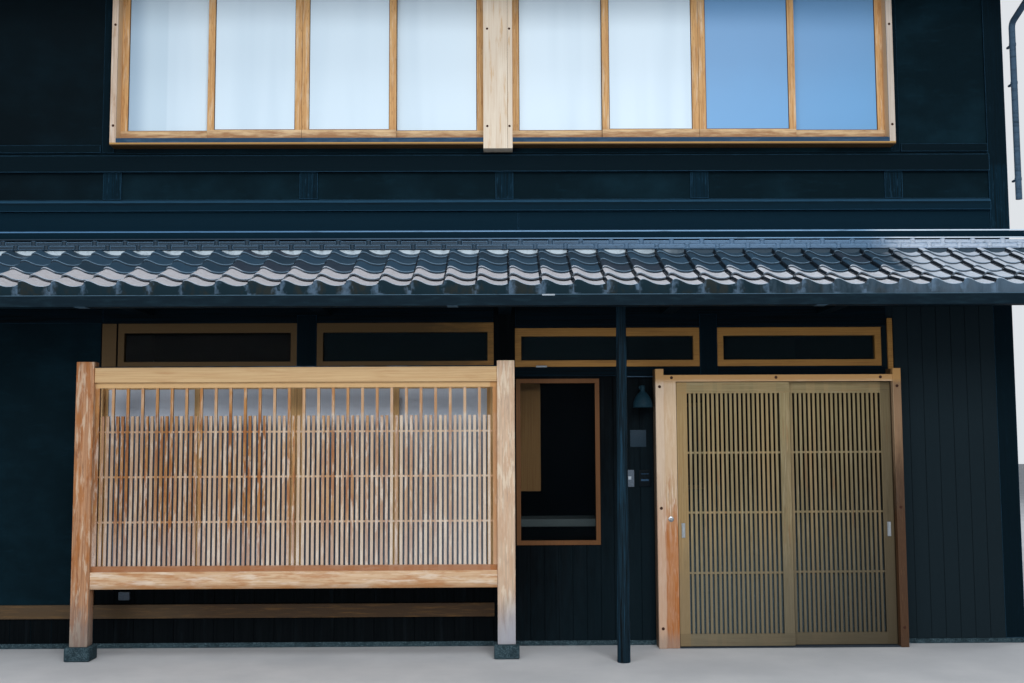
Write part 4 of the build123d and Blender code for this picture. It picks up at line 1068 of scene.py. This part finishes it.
class TOWNHOUSE_OT_gutters(bpy.types.Operator):
    """Add the beads, bands, hangers and strap of the gutters, and the down pipe's collars"""

    bl_idname = "townhouse.gutters"
    bl_label = "Add gutter fittings"

    def execute(self, context):
        pieces = []
        long = 2 * ROOF_END
        bead = ((0, 0.004), (0.002, 0.006), (long - 0.002, 0.006), (long, 0.004))
        for top, reach in ((2.720, 1.180), (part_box("gutters")[1].z, 0.880)):
            pieces.append(turned("bead", (-ROOF_END, out(reach - 0.006), top), (1, 0, 0), bead, 10))
            under, over = (top - 0.080, top - 0.0765), (top - 0.012, top - 0.008)
            band = on_wall("band", (-2.74, -2.66), under, reach - 0.002, 0.001, behind=reach - 0.11)
            pieces.append(row(band, 3, (2.7, 0, 0)))
            hanger = on_wall("hanger", (-4.5, -4.475), over, reach - 0.004, 0.001, behind=reach - 0.108)
            pieces.append(row(hanger, 16, (0.6, 0, 0)))
        finish_both(join("gutter_fittings_street", pieces), "Gutter edge")
        strap = on_wall("gutter_strap", (0.653, 0.747), (2.712, 2.7245), 1.180, 0.001, behind=1.070)
        finish(strap, "Pale plastic")
        rings = ((0, 0.0262), (0.002, 0.0285), (0.022, 0.0285), (0.024, 0.0262))
        collars = []
        for z in (3.80, 4.62, 4.95):
            collars.append(turned("collar", (4.671, out(0.100), z), (0, 0, 1), rings, 24))
            collars.append(on_wall("clip", (4.661, 4.681), (z + 0.004, z + 0.020), 0.080, 0.002))
        finish(join("pipe_collars", collars), "Painted pipe")
        return {"FINISHED"}


# Walls


def boards(name, sizes, spans, direction="Z"):
    """Wall boards over each span of (left, right, bottom, top, number of boards)."""
    pieces = []
    for left, right, bottom, top, count in spans:
        upright = direction == "Z"
        pitch = (right - left if upright else top - bottom) / count
        across = (left, left + pitch - sizes.board_gap if upright else right)
        high = (bottom, top if upright else bottom + pitch - sizes.board_gap)
        first = on_wall("board", across, high, sizes.board_thick, sizes.board_round, 1)
        pieces.append(row(first, count, (pitch, 0, 0) if upright else (0, 0, pitch)))
    return join(name, pieces)


class TOWNHOUSE_OT_wall_boards(bpy.types.Operator):
    """Nail the dark boards on the street wall and the boards and posts of the upper wall"""

    bl_idname = "townhouse.wall_boards"
    bl_label = "Add wall boards"

    def execute(self, context):
        sizes = context.scene.townhouse_walls
        spans = (
            (3.612, POST_FACE, BOARD_FOOT, 2.76, 7), (1.166, 1.606, BOARD_FOOT, 2.180, 4),
            (0.472, 1.166, BOARD_FOOT, 0.804, 6), (-2.950, 0.290, BOARD_FOOT, 0.238, 20),
            (-2.950, 0.290, 0.350, 0.556, 20), (-POST_FACE, -2.954, BOARD_FOOT, 0.238, 9),
        )
        finish(boards("street_boards", sizes, spans), "Stained wall boards")
        spans = (
            (-POST_FACE, -2.940, 2.640, 2.760, 1), (-2.936, 0.290, 2.640, 2.780, 1),
            (0.472, 3.560, 2.592, 2.780, 1), (0.472, 3.541, 2.188, 2.262, 1),
            (-2.936, 0.290, 2.184, 2.260, 1),
        )
        finish(boards("lintel_boards", sizes, spans, "X"), "Sheltered board")
        places = (
            ((-1.332, -1.171), (2.19, 2.70), 0.020), ((2.000, 2.145), (2.19, 2.70), 0.020),
            ((-2.980, -2.880), (4.07, 5.90), 0.014), ((3.650, 3.722), (4.07, 5.90), 0.014),
        )
        posts = [on_wall("post", *place, 0.003) for place in places]
        finish(join("wall_posts", posts), "Stained post")
        places = (
            ((-POST_FACE, 0.500), (3.407, 3.567), 0.010), ((0.504, POST_FACE), (3.407, 3.567), 0.010),
            ((-POST_FACE, -2.986), (4.066, 4.135), 0.030), ((3.724, POST_FACE), (4.066, 4.135), 0.030),
        )
        belt = [on_wall("board", *place, 0.003) for place in places]
        finish(join("belt_boards", belt), "Stained beam")
        strip = on_wall("end_strip", (3.560, 3.601), (2.235, 2.658), 0.030, 0.003, behind=0.006)
        finish(strip, "Transom cypress")
        rings = ((0, 0.003), (0.002, 0.004), (0.228, 0.004), (0.230, 0.003))
        rod = turned("thin_rod", (1.390, out(0.050), 2.178), (1, 0, 0), rings, 10)
        finish(rod, "Painted pipe")
        return {"FINISHED"}


# Windows


def plug(x, distance, z, radius=0.0125, proud=0.002):
    """Wooden plug over a screw, a little proud of the face at this distance out."""
    rings = ((0, radius), (0.003 + proud * 0.6, radius), (0.003 + proud, radius * 0.75))
    return turned("plug", (x, out(distance - 0.003), z), (0, -1, 0), rings, 12)


class TOWNHOUSE_OT_upper_window(bpy.types.Operator):
    """Add the screw plugs, the glass putty and the post's joint of the upper box window"""

    bl_idname = "townhouse.upper_window"
    bl_label = "Add upper window details"

    def execute(self, context):
        plugs = [plug(x, 0.130, z, 0.011) for x in (-2.851, 3.623) for z in (4.272, 5.130)]
        plugs += [plug(x, 0.138, z, 0.010) for x in (0.247, 0.431) for z in (4.260, 5.090)]
        finish(join("window_plugs", plugs), "Dark plug")
        # (left, right, whether its sash slides on the outer track)
        panes = (
            (-2.7720, -2.0955, 0), (-2.0395, -1.3645, 1), (-1.2495, -0.5745, 1), (-0.5185, 0.1580, 0),
            (0.5120, 1.2135, 0), (1.2695, 1.9695, 1), (2.0845, 2.7845, 1), (2.8405, 3.5420, 0),
        )
        putty = []
        foot, head = 4.256, 5.532
        for left, right, front in panes:
            proud = 0.043 if front else 0.003
            for across, upright in (
                ((left, left + 0.005), (foot, head)), ((right - 0.005, right), (foot, head)),
                ((left, right), (foot, foot + 0.006)), ((left, right), (head - 0.006, head)),
            ):
                putty.append(on_wall("putty", across, upright, proud, 0.002, 1, behind=proud - 0.007))
        finish(join("window_putty", putty), "Window putty")
        joint = on_wall("post_joint", (0.4140, 0.4165), (4.076, 5.596), 0.1386, 0.0005, 1, behind=0.130)
        finish(joint, "Window putty")
        return {"FINISHED"}


# Screen


def pair_at_ends(name, node, width, edge):
    """Two like blocks of a width at the left and right ends of a node's box."""
    low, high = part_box(node)
    blocks = []
    for left in (low.x, high.x - width):
        blocks.append(box("block", (left, low.y, low.z), (left + width, high.y, high.z), edge, 3))
    return join(name, blocks)


class TOWNHOUSE_OT_screen(bpy.types.Operator):
    """Model the screen's posts, rails, metal cap and stones"""

    bl_idname = "townhouse.screen"
    bl_label = "Add screen"

    def execute(self, context):
        posts = pair_at_ends("screen_post_pair", "screen_posts", 0.138, 0.005)
        finish(posts, "Weathered cypress post", replaces=("screen_posts",))
        low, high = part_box("screen_rails")
        top = box("screen_top_rail", (low.x, low.y, 2.123), high, 0.004, 3)
        finish(top, "Honey cypress rail", replaces=("screen_rails",))
        bottom = box("screen_bottom_rail", low, (high.x, high.y, 0.665), 0.005, 3)
        finish(bottom, "Weathered cypress rail", replaces=("screen_rails",))
        near, far, foot, head = low.y - 0.004, high.y + 0.004, high.z - 0.006, high.z + 0.001
        section = ((near, foot), (near, head), (far, head), (far, foot))
        cap = folded("screen_cap", low.x + 0.002, high.x - 0.002, section, 0.0012)
        finish(cap, "Dark sheet cap")
        stones = pair_at_ends("screen_stone_pair", "screen_stones", 0.195, 0.010)
        finish(stones, "Flamed granite", replaces=("screen_stones",))
        return {"FINISHED"}


# Doors, log, lamp and fittings


class TOWNHOUSE_OT_doors(bpy.types.Operator):
    """Add the plugs of the door frame and the pulls of the leaves"""

    bl_idname = "townhouse.doors"
    bl_label = "Add door fittings"

    def execute(self, context):
        plugs = [plug(x, 0.170, z) for x in (1.640, 3.5755) for z in (2.089, 1.110, 0.156)]
        plugs += [plug(x, 0.165, 2.162) for x in (1.739, 2.591, 3.444)]
        finish(join("door_frame_plugs", plugs), "Dark plug")
        half, stile = 0.0145, 0.0395
        for leaf, body in (("door_leaf_left", "left_leaf"), ("door_leaf_right", "right_leaf")):
            low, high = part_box(leaf)
            middle = low.x + stile if body == "left_leaf" else high.x - stile
            corner = (middle + half, low.y + 0.008, 0.9885)
            pull = box("pull_" + body, (middle - half, low.y - 0.0008, 0.8715), corner, 0.001, 1)
            inset_face(pull, (0, -1, 0), 0.004, 0.006)
            finish(pull, "Brushed steel", body=body)
        return {"FINISHED"}


class TOWNHOUSE_OT_log(bpy.types.Operator):
    """Model the peeled log that props the eave"""

    bl_idname = "townhouse.log"
    bl_label = "Add log"

    def execute(self, context):
        low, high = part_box("log_post")
        count, thick, taper, lean = 22, 0.0495, 0.0125, 0.010
        rings = []
        for i in range(count + 1):
            share = i / count
            swell = 0.0012 * math.sin(9 * share) + 0.0008 * math.sin(31 * share)
            rings.append((low.z + (high.z - low.z) * share, min(thick - taper * share + swell, thick)))
        log = turned("log", (low.x + 0.050, (low.y + high.y) / 2, 0), (0, 0, 1), rings, 24)
        # The log leans to the right and bows a little at every fourth ring
        edit(log)
        for i in range(1, count + 1):
            z = rings[i][0]
            select_where(log, "verts", lambda co: abs(co.z - z) < 0.005)
            bow = 0.0025 * math.sin(i * 1.7) if i % 4 == 3 else 0.0
            bpy.ops.transform.translate(value=(lean * i / count + bow, 0.8 * bow, 0))
        leave()
        finish(log, "Stained log", replaces=("log_post",), smooth=60)
        return {"FINISHED"}


class TOWNHOUSE_OT_fittings(bpy.types.Operator):
    """Model the lamp, the intercom, the bare plate, the letter slot, the outlet and the lock"""

    bl_idname = "townhouse.fittings"
    bl_label = "Add lamp and wall fittings"

    def execute(self, context):
        add_lamp()
        add_intercom()
        add_plate()
        add_letter_slot()
        catch = on_wall("transom_catch", (0.642, 0.732), (2.259, 2.274), 0.034, 0.004, behind=0.006)
        finish(catch, "Pale plastic")
        outlet = on_wall("outlet", (-2.748, -2.660), (0.387, 0.451), 0.035, 0.005)
        finish(inset_face(outlet, (0, -1, 0), 0.006, 0.002), "Grey plastic")
        rings = ((0, 0.022), (0.003, 0.022), (0.005, 0.019), (0.006, 0.012), (0.010, 0.012), (0.0135, 0.010))
        lock = turned("round_lock", (1.718, out(0.160), 1.022), (0, -1, 0), rings, 32)
        finish(lock, "Brushed steel")
        return {"FINISHED"}


def add_lamp():
    """Deep bell shade on a neck, held by an arm from a wall rose, with its bulb."""
    x, y, rim, arm_height = 1.508, out(0.120), 1.923, 2.090
    bell = (
        (0.012, 0.060), (0.004, 0.0765), (0.0, 0.079), (0.004, 0.080), (0.022, 0.079), (0.045, 0.075),
        (0.068, 0.067), (0.090, 0.055), (0.108, 0.042), (0.121, 0.029), (0.130, 0.021), (0.136, 0.019),
        (0.176, 0.019), (0.180, 0.014),
    )
    arm = ((0.010, 0.006), (0.012, 0.007), (0.117, 0.007), (0.120, 0.006))
    rose = ((0, 0.018), (0.006, 0.018), (0.010, 0.012))
    lamp = [
        turned("dome", (x, y, rim), (0, 0, 1), bell, 32),
        turned("arm", (x, y, arm_height), (0, 1, 0), arm, 12),
        turned("rose", (x, out(0.0), arm_height), (0, -1, 0), rose, 24),
    ]
    finish(join("eave_lamp", lamp), "Enamelled steel", replaces=("door_lamp",))
    rings = ((0, 0.006), (0.003, 0.018), (0.015, 0.027), (0.03, 0.026), (0.045, 0.016))
    bulb = turned("lamp_bulb", (x, y, rim + 0.004), (0, 0, 1), rings, 16)
    finish(bulb, "Pale plastic")


def add_intercom():
    """Intercom with four slots over its button."""
    case = on_wall("case", (1.390, 1.442), (1.275, 1.414), 0.022, 0.003)
    inset_face(case, (0, -1, 0), 0.004, 0.001)
    slot = on_wall("slot", (1.402, 1.430), (1.380, 1.382), 0.0225, 0.0005, 1, behind=0.018)
    intercom = join("intercom", [case, row(slot, 4, (0, 0, 0.006))])
    finish(intercom, "Grey plastic", replaces=("wall_fittings",))
    button = on_wall("intercom_button", (1.393, 1.418), (1.334, 1.362), 0.025, 0.003, behind=0.018)
    finish(button, "Pale plastic")


def add_plate():
    """Bare plate with a screw in each corner."""
    pieces = [on_wall("plate", (1.414, 1.546), (1.601, 1.741), 0.010, 0.0025)]
    rings = ((0, 0.004), (0.002, 0.004), (0.0026, 0.003))
    for x in (1.424, 1.536):
        for z in (1.611, 1.731):
            pieces.append(turned("screw", (x, out(0.009), z), (0, -1, 0), rings, 10))
    finish(join("bare_wall_plate", pieces), "Plate enamel")


def add_letter_slot():
    """Letter slot in a sunk frame, with its flap and the slit above it."""
    slot = on_wall("letter_slot", (1.482, 1.578), (1.275, 1.413), 0.016, 0.003)
    finish(inset_face(slot, (0, -1, 0), 0.010, -0.003), "Dark plastic")
    flap = on_wall("letter_flap", (1.497, 1.563), (1.322, 1.338), 0.017, 0.002, behind=0.010)
    slit = on_wall("letter_slit", (1.497, 1.563), (1.378, 1.383), 0.0165, 0.001, behind=0.010)
    finish(join("letter_slot_flaps", [flap, slit]), "Blue sheet sill")


# Finishes of the solids that stay

CAD_FINISHES = {
    "Flamed granite": ("foundation",),
    "Floor boards": ("upper_floor",),
    "Stained post": ("corner_posts", "belt_struts"),
    "Dark lime plaster": (
        "left_party_wall", "right_party_wall", "front_wall_left", "front_upper_wall", "rear_lower_wall",
        "rear_upper_wall",
    ),
    "Stained wall boards": (
        "front_wall_under_window", "front_wall_over_window", "front_wall_reception", "front_wall_over_door",
        "front_wall_right", "centre_post",
    ),
    "Stained beam": ("belt_beams", "eave_purlins"),
    "Stained rafter": ("lower_roof_decks", "eave_arms", "main_roof_deck", "bargeboards"),
    "Painted gutter": ("gutters",),
    "Painted pipe": ("down_pipe",),
    "Base rail wood": ("base_rail", "window_casing"),
    "Threshold wood": ("door_threshold",),
    "Transom cypress": ("transom_frames",),
    "Red-brown frame": ("reception_window_frame",),
    "Counter board": ("reception_counter",),
    "Street window cypress": ("street_window_frame", "street_window_sashes", "rear_window_frames"),
    "Frosted glass": ("street_window_glass",),
    "Dark clear glass": ("rear_window_glass",),
    "Clear glass": ("shopfront_glass", "door_glass_left", "door_glass_right"),
    "Greyed window jamb": ("box_window_frame",),
    "Pale centre post": ("box_window_post",),
    "Window cypress": ("box_window_sashes",),
    "Papered glass": ("box_window_glass",),
    "Blue sheet sill": ("box_window_sill",),
    "Dark sheet cap": ("box_window_hood",),
    "Lattice cypress": ("screen_lattice",),
    "Door frame cypress": ("door_posts", "door_lintel"),
    "Khaki cedar": ("door_leaf_left", "door_leaf_right"),
}


class TOWNHOUSE_OT_frame_finishes(bpy.types.Operator):
    """Give each solid of the frame its finish"""

    bl_idname = "townhouse.frame_finishes"
    bl_label = "Finish the solids"

    def execute(self, context):
        for material, nodes in CAD_FINISHES.items():
            for node in nodes:
                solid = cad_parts[node]
                solid.data.materials.clear()
                solid.data.materials.append(bpy.data.materials[material])
        return {"FINISHED"}


# Stage


def area_lamp(name, place, target, size, power):
    """White softbox of a width and height that faces a target."""
    data = bpy.data.lights.new(name, "AREA")
    data.shape = "RECTANGLE"
    data.size, data.size_y = size
    data.energy = power
    lamp = bpy.data.objects.new(name, data)
    bpy.context.scene.collection.objects.link(lamp)
    lamp.location = place
    lamp.rotation_euler = (Vector(target) - Vector(place)).to_track_quat("-Z", "Y").to_euler()


class TOWNHOUSE_OT_stage(bpy.types.Operator):
    """Set the camera, the pale floor and the soft light"""

    bl_idname = "townhouse.stage"
    bl_label = "Add stage"

    def execute(self, context):
        add_camera(context.scene)
        add_floor()
        add_backdrop(context.scene)
        street, garden = (0, -3.2, 2.6), (0, 3.2, 2.6)
        area_lamp("Key softbox", (3.0, -18.0, 9.0), street, (8, 6), 1420)
        area_lamp("Fill softbox", (-7.0, -17.0, 3.5), (0, -3.2, 2.4), (7, 5), 470)
        area_lamp("Top softbox", (0.0, -9.0, 12.0), (0, -3.6, 2.8), (8, 4), 320)
        area_lamp("Garden softbox", (3.0, 18.0, 9.0), garden, (8, 6), 1420)
        area_lamp("Left softbox", (-16.0, 3.0, 5.0), (-4.7, 0.8, 3.2), (5, 4), 500)
        area_lamp("Right softbox", (16.0, 3.0, 5.0), (4.7, 0.8, 3.2), (5, 4), 500)
        context.scene.view_settings.view_transform = "Standard"
        return {"FINISHED"}


def add_camera(scene):
    """Camera at the photograph's place: at eye height, 9.4 m from the wall, looking a little up."""
    data = bpy.data.cameras.new("Camera")
    data.lens, data.sensor_width = 40.0, 36.0
    data.clip_end = 200
    camera = bpy.data.objects.new("Camera", data)
    scene.collection.objects.link(camera)
    pitch, yaw, roll = math.radians(4.764), math.radians(0.584), math.radians(-0.265)
    ahead = Vector((math.sin(yaw) * math.cos(pitch), math.cos(yaw) * math.cos(pitch), math.sin(pitch)))
    right = Vector((math.cos(yaw), -math.sin(yaw), 0))
    up = right.cross(ahead)
    local_x = math.cos(roll) * right + math.sin(roll) * up
    local_y = -math.sin(roll) * right + math.cos(roll) * up
    turn = Matrix((local_x, local_y, -ahead)).transposed().to_4x4()
    camera.matrix_world = Matrix.Translation((0.349, out(9.40), 1.693)) @ turn
    scene.camera = camera


def add_floor():
    """Wide disc of pale smooth concrete, just under the house, which is stage and no part of it."""
    deselect()
    bpy.ops.mesh.primitive_circle_add(vertices=64, radius=60, fill_type="NGON", location=(0, 0, -0.002))
    floor = bpy.context.object
    floor.name = "floor"
    tree, place = start_material("Pale concrete floor", 0.85, 0.15)
    cloud = mottle(tree, place, 900, 5.0)
    paint(tree, lay(tree, "#b9bdc2", "#c9ccd0", cloud, 0.3, 0.7), cloud, 0.001, 0.1)
    floor.data.materials.append(bpy.data.materials["Pale concrete floor"])


def add_backdrop(scene):
    """World with soft even light on the object, and a pale backdrop for camera, gloss and glass."""
    world = bpy.data.worlds.new("Studio")
    scene.world = world
    world.use_nodes = True
    tree = world.node_tree
    tree.nodes.clear()
    rays = add_node(tree, "LightPath", {}).node.outputs
    seen = rays["Is Camera Ray"]
    for kind in ("Is Glossy Ray", "Is Transmission Ray"):
        seen = add_node(tree, "Math", {"operation": "MAXIMUM", 0: seen, 1: rays[kind]})
    soft = add_node(tree, "Background", {"Color": "#eef2f8", "Strength": 0.34})
    pale = add_node(tree, "Background", {"Color": "#dfe3e7", "Strength": 1.0})
    add_node(tree, "OutputWorld", {"Surface": add_node(tree, "MixShader", {0: seen, 1: soft, 2: pale})})


class TOWNHOUSE_PT_panel(bpy.types.Panel):
    """Lists the steps that dress the townhouse"""

    bl_label = "Townhouse"
    bl_idname = "TOWNHOUSE_PT_panel"
    bl_space_type = "VIEW_3D"
    bl_region_type = "UI"
    bl_category = "Townhouse"

    def draw(self, context):
        for step in STEPS:
            self.layout.operator(step.bl_idname)


SETTINGS = {
    "townhouse_roof": RoofSizes,
    "townhouse_walls": WallSizes,
    "townhouse_dark": DarkColours,
    "townhouse_wood": WoodColours,
    "townhouse_roof_colours": RoofColours,
    "townhouse_panes": PaneColours,
}

STEPS = (
    TOWNHOUSE_OT_stage,
    TOWNHOUSE_OT_materials,
    TOWNHOUSE_OT_frame_finishes,
    TOWNHOUSE_OT_lower_roof,
    TOWNHOUSE_OT_main_roof,
    TOWNHOUSE_OT_wall_ridge,
    TOWNHOUSE_OT_gutters,
    TOWNHOUSE_OT_wall_boards,
    TOWNHOUSE_OT_upper_window,
    TOWNHOUSE_OT_screen,
    TOWNHOUSE_OT_doors,
    TOWNHOUSE_OT_log,
    TOWNHOUSE_OT_fittings,
)


def register():
    for group in SETTINGS.values():
        bpy.utils.register_class(group)
    for name, group in SETTINGS.items():
        setattr(bpy.types.Scene, name, PointerProperty(type=group))
    for step in STEPS + (TOWNHOUSE_PT_panel,):
        bpy.utils.register_class(step)


def unregister():
    for step in reversed(STEPS + (TOWNHOUSE_PT_panel,)):
        bpy.utils.unregister_class(step)
    for name in SETTINGS:
        delattr(bpy.types.Scene, name)
    for group in reversed(SETTINGS.values()):
        bpy.utils.unregister_class(group)


def main():
    register()
    for step in STEPS:
        group, name = step.bl_idname.split(".")
        getattr(getattr(bpy.ops, group), name)()
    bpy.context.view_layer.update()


if __name__ == "__main__":
    main()
